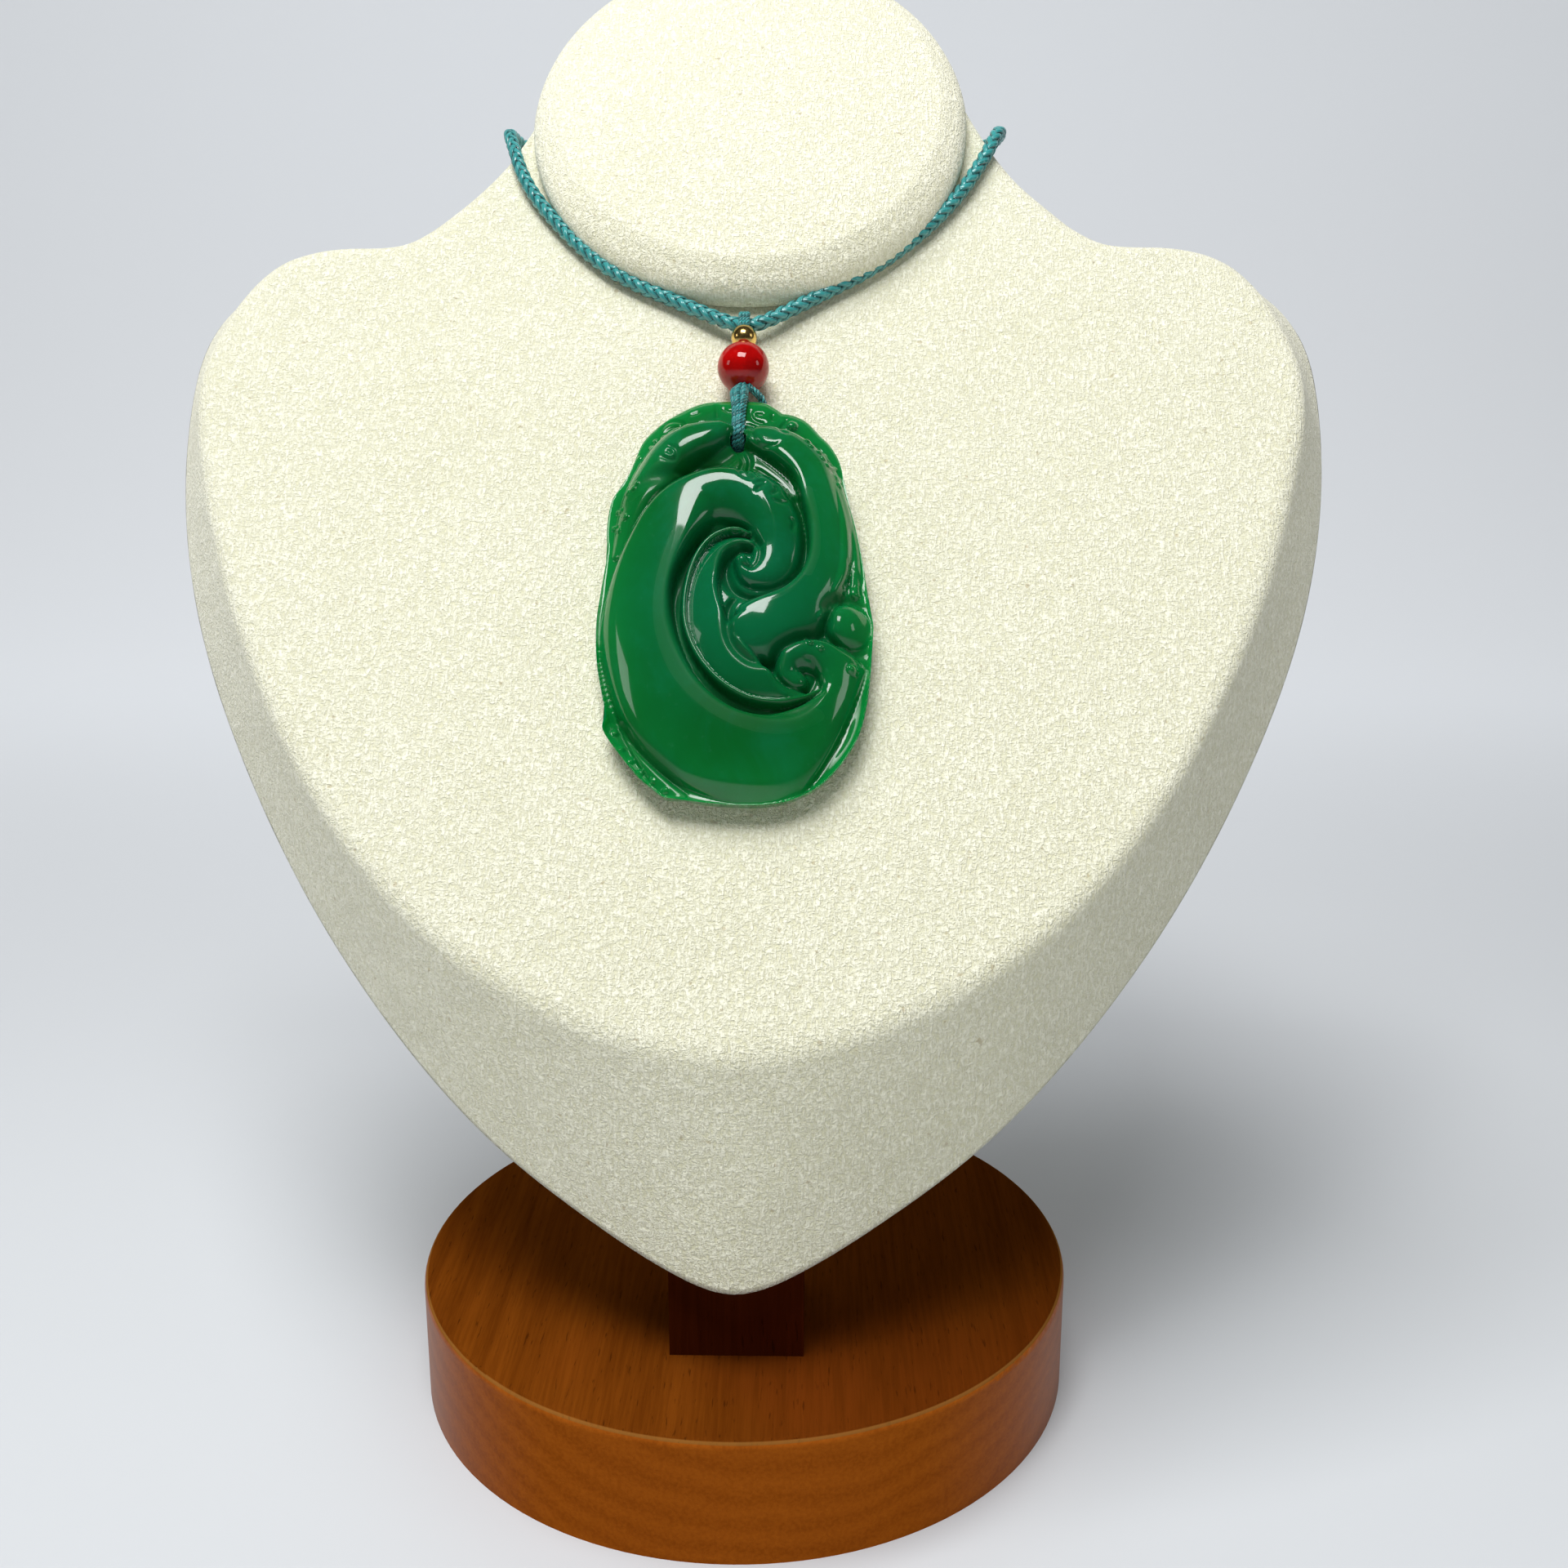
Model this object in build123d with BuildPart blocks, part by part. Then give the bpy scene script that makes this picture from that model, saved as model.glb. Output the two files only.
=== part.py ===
from build123d import *
import math
import os
import numpy as np
from scipy.spatial import Delaunay

# Carved stone scroll pendant on a braided neck cord, hung on a neck bust
# Millimetres, +Z up, the front looks along -Y, origin at the centre of the foot's underside

# Wooden foot and post
disc_diameter = 100.0
disc_height = 18.3
disc_edge_round = 1.2
post_width = 18.8
post_depth = 18.8
post_front_y = -31.0

# Bust: a leaning heart-shaped body between a front face and a back face
chest_lean = 37.0
chest_low_y = -35.9
chest_low_z = 65.6
chest_width = 172.4
front_length = 192.5
back_lean = 34.0
back_low_y = -36.0
back_low_z = 31.0
back_width = 186.8
back_length = 220.5
bust_edge_round = 2.0

# Padded oval cap on the front of the neck, flat back on the front face
cap_width = 72.7
cap_length = 75.0
cap_thickness = 9.0
cap_edge_round = 4.2
cap_centre_x = -0.6
cap_centre_up = 158.3

# Carved pendant and its hole
pendant_width = 39.6
pendant_length = 65.2
pendant_thickness = 9.5
pendant_centre_x = -0.9
pendant_below_bead = 3.3
pendant_low_gap = 0.3
pendant_top_lift = 1.9
hole_diameter = 2.4
hole_below_top = 8.3
hole_rim_share = 0.69
hole_sides = 16
edge_roll = 3.2
back_bevel = 1.5
facet = 1.25

# Cord, thread and beads
cord_diameter = 2.4
thread_diameter = 1.0
strand_gap = 0.06
gold_bead_diameter = 4.0
red_bead_diameter = 8.0
bead_bore = 2.3
bead_axis_x = -0.6
bead_seat = 0.3
red_bead_up = 106.4
bead_sink = 0.25
bead_clear = 0.9
cord_low_up = 117.3
thread_slack = 0.5
thread_lift = 0.2
knot_diameter = 5.6
knot_length = 9.0
knot_up = 166.5
knot_seat = 0.3
knot_edge_round = 1.2
cord_seat = 0.4
corner_share = 0.45


def leaning_plane(origin, lean):
    """Plane that leans back by an angle: local Y runs up the slope, local Z looks out of it."""
    turn = math.radians(lean)
    return Plane(origin=origin, x_dir=(1, 0, 0), z_dir=(0, -math.cos(turn), math.sin(turn)))


chest = leaning_plane((0, chest_low_y, chest_low_z), chest_lean)
rear = leaning_plane((0, back_low_y, back_low_z), back_lean)

# Right half of each outline, from the lowest point to the top of the neck
# Columns: share of half the width, share of the length
front_outline = (
    (0.000, 0.000), (0.139, 0.008), (0.267, 0.029), (0.464, 0.081), (0.626, 0.153),
    (0.783, 0.262), (0.893, 0.371), (0.974, 0.486), (1.000, 0.575), (0.969, 0.625),
    (0.880, 0.683), (0.760, 0.698), (0.661, 0.702), (0.565, 0.740), (0.507, 0.773),
    (0.464, 0.808), (0.432, 0.842), (0.396, 0.880), (0.335, 0.928), (0.215, 0.976), (0.000, 1.000),
)
back_outline = (
    (0.000, 0.000), (0.086, 0.011), (0.214, 0.043), (0.343, 0.082), (0.535, 0.163),
    (0.691, 0.252), (0.818, 0.346), (0.919, 0.444), (1.000, 0.640), (0.975, 0.705),
    (0.900, 0.742), (0.780, 0.750), (0.640, 0.752), (0.530, 0.780), (0.460, 0.810),
    (0.415, 0.840), (0.390, 0.868), (0.360, 0.900), (0.305, 0.940), (0.195, 0.980), (0.000, 1.000),
)


def outline_loop(shares, width, length):
    """Closed smooth outline through the shared points and their mirror image, flat on XY."""
    right = [(side * width / 2, up * length) for side, up in shares]
    left = [(-across, up) for across, up in right[-2:0:-1]]
    with BuildLine() as loop:
        Spline(*right, *left, periodic=True)
    return loop.edges()


with BuildPart() as base_disc:
    Cylinder(disc_diameter / 2, disc_height, align=(Align.CENTER, Align.CENTER, Align.MIN))
    fillet(base_disc.edges().group_by(Axis.Z)[-1], disc_edge_round)
base_disc.part.label = "base_disc"

with BuildPart() as post:
    with BuildSketch(Plane.XY.offset(disc_height)):
        with Locations((0, post_front_y + post_depth / 2)):
            Rectangle(post_width, post_depth)
    extrude(amount=back_length)
    split(bisect_by=rear, keep=Keep.BOTTOM)
post.part.label = "post"

with BuildPart() as bust:
    with BuildSketch(rear):
        make_face(outline_loop(back_outline, back_width, back_length))
    with BuildSketch(chest):
        make_face(outline_loop(front_outline, chest_width, front_length))
    loft()
    fillet(bust.faces().sort_by(Axis(chest.origin, chest.z_dir))[-1].edges(), bust_edge_round)
bust.part.label = "bust"

with BuildPart() as neck_cap:
    with BuildSketch(chest):
        with Locations((cap_centre_x, cap_centre_up)):
            Ellipse(cap_width / 2, cap_length / 2)
    extrude(amount=cap_thickness)
    fillet(neck_cap.faces().filter_by(GeomType.PLANE).edges(), cap_edge_round)
neck_cap.part.label = "neck_cap"


def bust_depth(up):
    """Thickness of the bust under a height on the front face, square to that face."""
    point = chest.from_local_coords((0, up, 0))
    return (point - rear.origin).dot(rear.z_dir) / chest.z_dir.dot(rear.z_dir)


# Neck cord: its route in the front face's own axes, from the knot's left end round to its right
# Columns: across, up the front face, out of the front face
cord_out = cord_diameter / 2 + cord_seat
pulled_out = cord_out + thread_diameter
knot_out = -(bust_depth(knot_up) + knot_seat + knot_diameter / 2)
cord_route = (
    (-knot_length / 2, knot_up, knot_out),
    (-14.5, knot_up, knot_out),
    (-26.0, 167.4, knot_out - 0.6),
    (-35.5, 167.0, knot_out),
    (-41.5, 165.3, -9.8),
    (-43.0, 162.0, -3.6),
    (-41.9, 156.4, 1.3),
    (-38.9, 148.6, cord_out + 0.1),
    (-33.5, 138.0, cord_out),
    (-24.9, 127.2, cord_out),
    (-13.5, 120.8, cord_out),
    (-2.6, 117.4, pulled_out),
    (1.8, 117.2, pulled_out),
    (13.2, 121.2, cord_out),
    (25.3, 128.7, cord_out),
    (34.3, 140.0, cord_out),
    (39.0, 150.4, cord_out + 0.1),
    (41.7, 157.0, 1.2),
    (42.8, 162.2, -3.8),
    (41.2, 165.4, -10.0),
    (35.2, 167.2, knot_out),
    (25.6, 167.4, knot_out - 0.6),
    (14.5, knot_up, knot_out),
    (knot_length / 2, knot_up, knot_out),
)


def corner_radii(points):
    """Largest tangent arc for each corner of a route, as a share of its shorter run."""
    radii = []
    for here, corner, there in zip(points, points[1:], points[2:]):
        before = corner - here
        after = there - corner
        half_turn = math.radians(before.get_angle(after)) / 2
        radii.append(corner_share * min(before.length, after.length) / math.tan(half_turn))
    return radii


def report_tube(piece, line, diameter, radii):
    """Print a tube's length, tightest arc and how near its volume is to section times length."""
    section = math.pi * diameter ** 2 / 4
    length = sum(edge.length for edge in line.edges())
    share = piece.volume / (section * length)
    print(f"{piece.label}: length {length:.1f}, tightest arc {min(radii):.2f}, "
          f"volume over section times length {share:.4f}")
    print("  radii", [round(radius, 1) for radius in radii])


cord_points = [chest.from_local_coords(point) for point in cord_route]
cord_radii = corner_radii(cord_points)
with BuildPart() as neck_cord:
    with BuildLine() as cord_line:
        FilletPolyline(*cord_points, radius=cord_radii)
    with BuildSketch(Plane(origin=cord_line.line @ 0, z_dir=cord_line.line % 0)):
        Circle(cord_diameter / 2)
    sweep()
neck_cord.part.label = "neck_cord"
report_tube(neck_cord.part, cord_line.line, cord_diameter, cord_radii)

with BuildPart(Plane(origin=chest.from_local_coords((0, knot_up, knot_out)),
                     x_dir=chest.y_dir, z_dir=(1, 0, 0))) as cord_knot:
    Cylinder(knot_diameter / 2, knot_length)
    fillet(cord_knot.edges().filter_by(GeomType.CIRCLE), knot_edge_round)
cord_knot.part.label = "cord_knot"


def bead_plane(up):
    """Plane through a bead's centre, square to its bore."""
    centre = chest.from_local_coords((bead_axis_x, up, bead_out))
    return Plane(origin=centre, x_dir=(1, 0, 0), z_dir=chest.y_dir)


bead_out = red_bead_diameter / 2 + bead_seat
gold_bead_up = red_bead_up + (red_bead_diameter + gold_bead_diameter) / 2 - bead_sink
with BuildPart(bead_plane(red_bead_up)) as red_bead:
    Sphere(red_bead_diameter / 2)
    Cylinder(bead_bore / 2, red_bead_diameter, mode=Mode.SUBTRACT)
red_bead.part.label = "red_bead"

with BuildPart(bead_plane(gold_bead_up)) as gold_bead:
    Sphere(gold_bead_diameter / 2)
    Cylinder(bead_bore / 2, gold_bead_diameter, mode=Mode.SUBTRACT)
gold_bead.part.label = "gold_bead"

# Pendant: it hangs below the red bead, and its own plane runs from its low edge on the chest to
# its lifted top edge
pendant_top = red_bead_up - red_bead_diameter / 2 - pendant_below_bead
pendant_centre_up = pendant_top - pendant_length / 2
pendant_foot = chest.from_local_coords(
    (pendant_centre_x, pendant_centre_up - pendant_length / 2, pendant_low_gap))
pendant_head = chest.from_local_coords(
    (pendant_centre_x, pendant_centre_up + pendant_length / 2, pendant_top_lift))
slope = (pendant_head - pendant_foot).normalized()
pendant_plane = Plane(origin=(pendant_foot + pendant_head) / 2, x_dir=(1, 0, 0),
                      z_dir=Vector(1, 0, 0).cross(slope))
hole_centre = (0.0, pendant_length / 2 - hole_below_top)

# Outline of the carving, clockwise from the top
# Columns: share of half the width, share of half the length
carving_outline = (
    (-0.171, 1.000), (-0.327, 0.983), (-0.505, 0.923), (-0.632, 0.859), (-0.732, 0.778),
    (-0.797, 0.657), (-0.851, 0.564), (-0.908, 0.515), (-0.945, 0.454), (-0.961, 0.359),
    (-0.959, 0.269), (-0.944, 0.231), (-0.959, 0.133), (-0.982, 0.000), (-1.000, -0.132),
    (-0.993, -0.265), (-0.971, -0.377), (-0.931, -0.491), (-0.900, -0.580), (-0.913, -0.623),
    (-0.910, -0.657), (-0.859, -0.711), (-0.761, -0.790), (-0.652, -0.872), (-0.553, -0.924),
    (-0.465, -0.965), (-0.386, -0.972), (-0.325, -0.972), (-0.184, -0.990), (0.013, -1.000),
    (0.214, -1.000), (0.393, -0.981), (0.555, -0.936), (0.673, -0.880), (0.797, -0.786),
    (0.889, -0.680), (0.942, -0.557), (0.973, -0.416), (0.981, -0.317), (0.988, -0.245),
    (1.000, -0.161), (0.979, -0.088), (0.957, -0.026), (0.941, 0.090), (0.913, 0.211),
    (0.867, 0.361), (0.814, 0.486), (0.784, 0.574), (0.784, 0.613), (0.754, 0.689),
    (0.686, 0.769), (0.612, 0.819), (0.575, 0.850), (0.500, 0.900), (0.387, 0.932),
    (0.350, 0.928), (0.274, 0.965), (0.161, 0.997),
)

# Raised forms of the carving, each a rounded ridge along a line of stations
# Columns: share of half the width, share of half the length, reach of the ridge to the left and to
# the right of its line as shares of half the width, height of its crest as a share of the thickness,
# how flat-topped its left side and its right side are
raised_forms = {
    "big_scroll": (
        (0.052, 0.105, 0.057, 0.069, 0.840, 2.2, 2.4),
        (0.094, 0.053, 0.081, 0.089, 0.800, 2.2, 2.4),
        (0.165, 0.065, 0.089, 0.149, 0.795, 2.2, 2.4),
        (0.231, 0.124, 0.121, 0.226, 0.810, 2.0, 2.4),
        (0.269, 0.211, 0.162, 0.242, 0.850, 2.0, 2.4),
        (0.251, 0.311, 0.202, 0.246, 0.920, 1.8, 2.4),
        (0.176, 0.412, 0.263, 0.226, 0.980, 1.7, 2.4),
        (0.041, 0.477, 0.303, 0.149, 1.000, 1.6, 3.0),
        (-0.153, 0.502, 0.323, 0.117, 1.000, 1.8, 3.0),
        (-0.355, 0.455, 0.323, 0.145, 1.000, 2.2, 3.0),
        (-0.510, 0.332, 0.313, 0.182, 1.000, 5.0, 3.0),
        (-0.611, 0.182, 0.267, 0.212, 1.000, 12.0, 3.0),
        (-0.677, -0.000, 0.238, 0.252, 1.000, 18.0, 3.0),
        (-0.692, -0.193, 0.271, 0.283, 1.000, 16.0, 3.0),
        (-0.628, -0.380, 0.295, 0.303, 1.000, 18.0, 3.0),
        (-0.490, -0.551, 0.303, 0.323, 1.000, 18.0, 3.0),
        (-0.290, -0.686, 0.303, 0.333, 1.000, 18.0, 3.0),
        (-0.039, -0.768, 0.295, 0.343, 1.000, 18.0, 3.0),
        (0.246, -0.792, 0.295, 0.343, 1.000, 18.0, 3.0),
        (0.510, -0.748, 0.283, 0.333, 1.000, 14.0, 3.0),
        (0.700, -0.639, 0.232, 0.303, 0.990, 8.0, 3.0),
        (0.797, -0.509, 0.192, 0.222, 0.970, 4.0, 3.0),
        (0.769, -0.391, 0.182, 0.172, 0.960, 3.0, 3.0),
        (0.653, -0.331, 0.162, 0.111, 0.960, 2.4, 4.0),
        (0.507, -0.318, 0.151, 0.085, 0.960, 2.2, 4.0),
        (0.395, -0.358, 0.125, 0.081, 0.940, 2.2, 4.0),
        (0.368, -0.425, 0.117, 0.085, 0.900, 2.2, 3.0),
        (0.441, -0.464, 0.101, 0.077, 0.870, 2.4, 3.0),
    ),
    "inner_crescent": (
        (0.182, 0.190, 0.032, 0.028, 0.740, 2.0, 1.2),
        (0.031, 0.197, 0.044, 0.069, 0.780, 2.0, 1.2),
        (-0.097, 0.133, 0.048, 0.151, 0.810, 2.0, 1.1),
        (-0.151, 0.000, 0.048, 0.222, 0.850, 2.0, 1.1),
        (-0.109, -0.137, 0.048, 0.271, 0.910, 2.0, 1.1),
        (-0.026, -0.245, 0.048, 0.315, 0.955, 2.0, 1.1),
        (0.095, -0.346, 0.048, 0.311, 0.975, 2.0, 1.1),
        (0.233, -0.431, 0.044, 0.238, 0.960, 2.0, 1.1),
        (0.358, -0.499, 0.036, 0.145, 0.910, 2.0, 1.3),
        (0.508, -0.520, 0.032, 0.061, 0.820, 2.0, 1.6),
    ),
    "lip": (
        (0.100, 0.247, 0.020, 0.020, 0.800, 3.0, 3.0),
        (-0.022, 0.261, 0.024, 0.024, 0.820, 3.0, 3.0),
        (-0.161, 0.222, 0.026, 0.026, 0.830, 3.0, 3.0),
        (-0.267, 0.140, 0.028, 0.028, 0.840, 3.0, 3.0),
        (-0.331, 0.028, 0.028, 0.028, 0.840, 3.0, 3.0),
        (-0.358, -0.110, 0.028, 0.028, 0.840, 3.0, 3.0),
        (-0.332, -0.233, 0.028, 0.028, 0.840, 3.0, 3.0),
        (-0.241, -0.360, 0.030, 0.030, 0.850, 3.0, 3.0),
        (-0.090, -0.472, 0.032, 0.032, 0.860, 3.0, 3.0),
        (0.105, -0.543, 0.032, 0.032, 0.860, 3.0, 3.0),
        (0.317, -0.562, 0.032, 0.032, 0.870, 3.0, 3.0),
        (0.489, -0.536, 0.028, 0.028, 0.870, 3.0, 3.0),
        (0.614, -0.496, 0.020, 0.020, 0.860, 3.0, 3.0),
    ),
    "second_ribbon": (
        (0.084, 0.752, 0.093, 0.069, 0.820, 2.6, 3.0),
        (0.209, 0.719, 0.172, 0.105, 0.900, 2.8, 3.4),
        (0.364, 0.659, 0.222, 0.121, 0.955, 3.0, 3.6),
        (0.489, 0.551, 0.263, 0.093, 0.975, 2.4, 4.0),
        (0.545, 0.391, 0.283, 0.069, 0.980, 2.1, 4.0),
        (0.582, 0.226, 0.263, 0.065, 0.980, 2.1, 4.4),
        (0.575, 0.113, 0.263, 0.069, 0.980, 2.2, 4.6),
        (0.516, 0.012, 0.283, 0.085, 0.985, 2.3, 4.6),
        (0.396, -0.079, 0.323, 0.101, 1.000, 2.4, 4.6),
        (0.240, -0.139, 0.374, 0.109, 1.020, 2.6, 4.6),
        (0.123, -0.171, 0.353, 0.133, 1.010, 2.6, 2.6),
    ),
    "ribbon_shoulder": (
        (0.714, 0.559, 0.061, 0.071, 0.830, 2.5, 2.5),
        (0.784, 0.398, 0.061, 0.081, 0.860, 2.5, 2.5),
        (0.799, 0.226, 0.057, 0.091, 0.880, 2.5, 2.5),
        (0.782, 0.085, 0.053, 0.101, 0.880, 2.5, 2.5),
        (0.712, -0.026, 0.048, 0.101, 0.880, 2.5, 2.5),
        (0.623, -0.150, 0.048, 0.101, 0.880, 2.5, 2.5),
    ),
    "left_arch": (
        (-0.135, 0.794, 0.121, 0.081, 0.860, 2.6, 2.6),
        (-0.268, 0.758, 0.162, 0.141, 0.920, 2.6, 2.6),
        (-0.411, 0.710, 0.182, 0.192, 0.940, 2.4, 2.4),
        (-0.569, 0.610, 0.172, 0.182, 0.920, 2.3, 2.3),
        (-0.703, 0.477, 0.145, 0.145, 0.870, 2.2, 2.2),
        (-0.784, 0.339, 0.101, 0.111, 0.800, 2.2, 2.2),
        (-0.862, 0.182, 0.057, 0.057, 0.720, 2.2, 2.2),
    ),
    "berry_stem": (
        (0.621, 0.677, 0.050, 0.050, 0.720, 2.2, 2.2),
        (0.754, 0.478, 0.050, 0.050, 0.740, 2.0, 2.0),
        (0.840, 0.283, 0.044, 0.044, 0.760, 2.0, 2.0),
        (0.872, 0.113, 0.044, 0.044, 0.760, 2.0, 2.0),
        (0.870, -0.012, 0.044, 0.044, 0.740, 2.0, 2.0),
    ),
    "berry": (
        (0.823, -0.176, 0.178, 0.178, 0.950, 2.2, 2.2),
    ),
    "low_strip": (
        (-0.838, -0.649, 0.069, 0.069, 0.820, 2.6, 2.6),
        (-0.763, -0.744, 0.077, 0.077, 0.820, 2.6, 2.6),
        (-0.622, -0.839, 0.077, 0.077, 0.820, 2.6, 2.6),
        (-0.475, -0.920, 0.073, 0.073, 0.820, 2.6, 2.6),
        (-0.359, -0.969, 0.061, 0.061, 0.800, 2.6, 2.6),
    ),
}

# Cut grooves, each along a line of stations
# Columns: share of half the width, share of half the length, half-width as a share of half the
# width, depth as a share of the thickness
cut_grooves = {
    "outer_groove": (
        (0.182, 0.183, 0.030, 0.050), (0.079, 0.261, 0.030, 0.050), (-0.063, 0.289, 0.030, 0.060),
        (-0.222, 0.246, 0.032, 0.070), (-0.327, 0.147, 0.036, 0.070), (-0.400, 0.014, 0.038, 0.080),
        (-0.431, -0.124, 0.040, 0.080), (-0.398, -0.246, 0.040, 0.080),
        (-0.298, -0.386, 0.040, 0.080), (-0.156, -0.498, 0.040, 0.080),
        (0.020, -0.576, 0.040, 0.080), (0.213, -0.620, 0.040, 0.080), (0.404, -0.620, 0.038, 0.070),
        (0.547, -0.574, 0.032, 0.050), (0.633, -0.503, 0.030, 0.030),
    ),
    "eye_surround": (
        (0.102, 0.168, 0.030, 0.050), (0.022, 0.183, 0.032, 0.100), (-0.053, 0.133, 0.040, 0.130),
        (-0.063, 0.056, 0.040, 0.130), (-0.011, -0.020, 0.032, 0.110),
        (0.090, -0.057, 0.030, 0.090), (0.208, -0.064, 0.030, 0.090), (0.362, -0.023, 0.030, 0.090),
        (0.479, 0.068, 0.030, 0.090), (0.514, 0.197, 0.034, 0.100), (0.495, 0.326, 0.036, 0.090),
        (0.429, 0.427, 0.036, 0.060),
    ),
    "tip_left": (
        (0.001, -0.069, 0.030, 0.060), (-0.037, -0.110, 0.030, 0.080),
        (-0.047, -0.191, 0.030, 0.090), (-0.020, -0.286, 0.034, 0.100),
        (0.051, -0.352, 0.038, 0.110), (0.159, -0.392, 0.040, 0.120), (0.284, -0.385, 0.040, 0.120),
        (0.322, -0.325, 0.036, 0.110), (0.428, -0.278, 0.036, 0.110), (0.574, -0.238, 0.036, 0.110),
        (0.662, -0.190, 0.036, 0.100), (0.672, -0.109, 0.032, 0.090), (0.722, -0.061, 0.030, 0.070),
    ),
    "curl_low": (
        (0.295, -0.405, 0.030, 0.070), (0.325, -0.471, 0.030, 0.070), (0.412, -0.510, 0.030, 0.070),
        (0.508, -0.503, 0.030, 0.060), (0.575, -0.444, 0.030, 0.050), (0.565, -0.378, 0.030, 0.040),
        (0.517, -0.365, 0.030, 0.020),
    ),
    "arch_valley": (
        (-0.820, 0.411, 0.053, 0.030), (-0.695, 0.506, 0.061, 0.060), (-0.524, 0.550, 0.069, 0.090),
        (-0.322, 0.602, 0.069, 0.100), (-0.119, 0.647, 0.061, 0.090), (0.003, 0.707, 0.040, 0.060),
    ),
    "strip_groove": (
        (-0.864, -0.578, 0.030, 0.040), (-0.770, -0.661, 0.036, 0.070),
        (-0.629, -0.757, 0.040, 0.070), (-0.470, -0.851, 0.040, 0.070),
        (-0.332, -0.944, 0.032, 0.050),
    ),
}
rim_level = 0.62
girdle_level = 0.36
ridge_root = 0.58
ridge_power = 0.6
crown_centre = (0.0, 0.32)
crown_reach = (1.08, 1.42)
crown_edge = 0.2
stations_per_span = 10
turn_share = 0.35


def through(rows, closed=False):
    """Stations on a smooth curve through the rows, with every column carried along."""
    rows = np.array(rows, dtype=float)
    if len(rows) == 1:
        return rows
    before, after = (rows[-1], rows[:2]) if closed else (2 * rows[0] - rows[1], 2 * rows[-1:] - rows[-2])
    rows = np.vstack((before, rows, after))
    steps = np.linspace(0, 1, stations_per_span, endpoint=False)[:, None]
    spans = []
    for a, b, c, d in zip(rows, rows[1:], rows[2:], rows[3:]):
        spans.append(0.5 * (2 * b + (c - a) * steps + (2 * a - 5 * b + 4 * c - d) * steps ** 2
                            + (3 * b - a - 3 * c + d) * steps ** 3))
    if not closed:
        spans.append(rows[-2:-1])
    return np.vstack(spans)


def even_loop(loop, spacing):
    """The same closed loop with its points evenly spaced."""
    closed = np.vstack((loop, loop[:1]))
    travelled = np.concatenate(([0], np.cumsum(np.hypot(*np.diff(closed, axis=0).T))))
    places = np.linspace(0, travelled[-1], round(travelled[-1] / spacing), endpoint=False)
    return np.column_stack([np.interp(places, travelled, column) for column in closed.T])


def loop_distance(points, loop):
    """Distance from each point to a closed loop, above zero inside it."""
    start, end = loop, np.roll(loop, -1, axis=0)
    side = end - start
    offset = points[:, None, :] - start[None]
    along = np.clip((offset * side).sum(axis=2) / (side ** 2).sum(axis=1), 0, 1)
    nearest = np.linalg.norm(offset - along[..., None] * side, axis=2).min(axis=1)
    above = (start[:, 1] > points[:, 1:]) != (end[:, 1] > points[:, 1:])
    rise = np.where(side[:, 1] == 0, 1, side[:, 1])
    crossing = start[:, 0] + (points[:, 1:] - start[:, 1]) * side[:, 0] / rise
    inside = (above & (points[:, :1] < crossing)).sum(axis=1) % 2 == 1
    return np.where(inside, nearest, -nearest)


def ridge_swell(points, station, heading):
    """How far a ridge swells at each point from one of its stations, from 0 to 1."""
    across, up, left, right, left_flat, right_flat = station
    offset = points - np.array((across * pendant_width / 2, up * pendant_length / 2))
    away = np.hypot(*offset.T) + 1e-9
    hand = (heading[0] * offset[:, 1] - heading[1] * offset[:, 0]) / away
    hand = (1 + np.clip(hand / turn_share, -1, 1)) / 2
    reach = (right + (left - right) * hand) * pendant_width / 2
    flat = right_flat + (left_flat - right_flat) * hand
    return np.clip(1 - (away / reach) ** flat, 0, 1) ** ridge_power


def carving_level(points):
    """Height of the carving at each point as a share of the thickness, before its edge is rolled."""
    half = np.array((pendant_width, pendant_length)) / 2
    level = np.full(len(points), rim_level)
    for rows in raised_forms.values():
        stations = through(rows)
        headings = np.gradient(stations[:, :2] * half, axis=0) if len(rows) > 1 else [(1.0, 0.0)]
        for station, heading in zip(stations, headings):
            crest = station[4]
            swell = ridge_swell(points, np.delete(station, 4), heading / np.linalg.norm(heading))
            level = np.maximum(level, ridge_root + (crest - ridge_root) * swell)
    for rows in cut_grooves.values():
        cut = np.zeros(len(points))
        for across, up, reach, depth in through(rows):
            away = np.hypot(*(points - (across, up) * half).T) / (reach * half[0])
            cut = np.maximum(cut, depth * np.exp(-away ** 2))
        level = level - cut
    bow = (((points / half - crown_centre) / crown_reach) ** 2).sum(axis=1)
    return level * (crown_edge + (1 - crown_edge) * np.sqrt(np.clip(1 - bow, 0, 1)))


def carving_height(points, outer):
    """Height of the carved face above the pendant's flat back, in millimetres."""
    inward = np.clip(loop_distance(points, outer) / edge_roll, 0, 1)
    roll = np.sqrt(1 - (1 - inward) ** 2)
    return pendant_thickness * (girdle_level + roll * (carving_level(points) - girdle_level))


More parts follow.
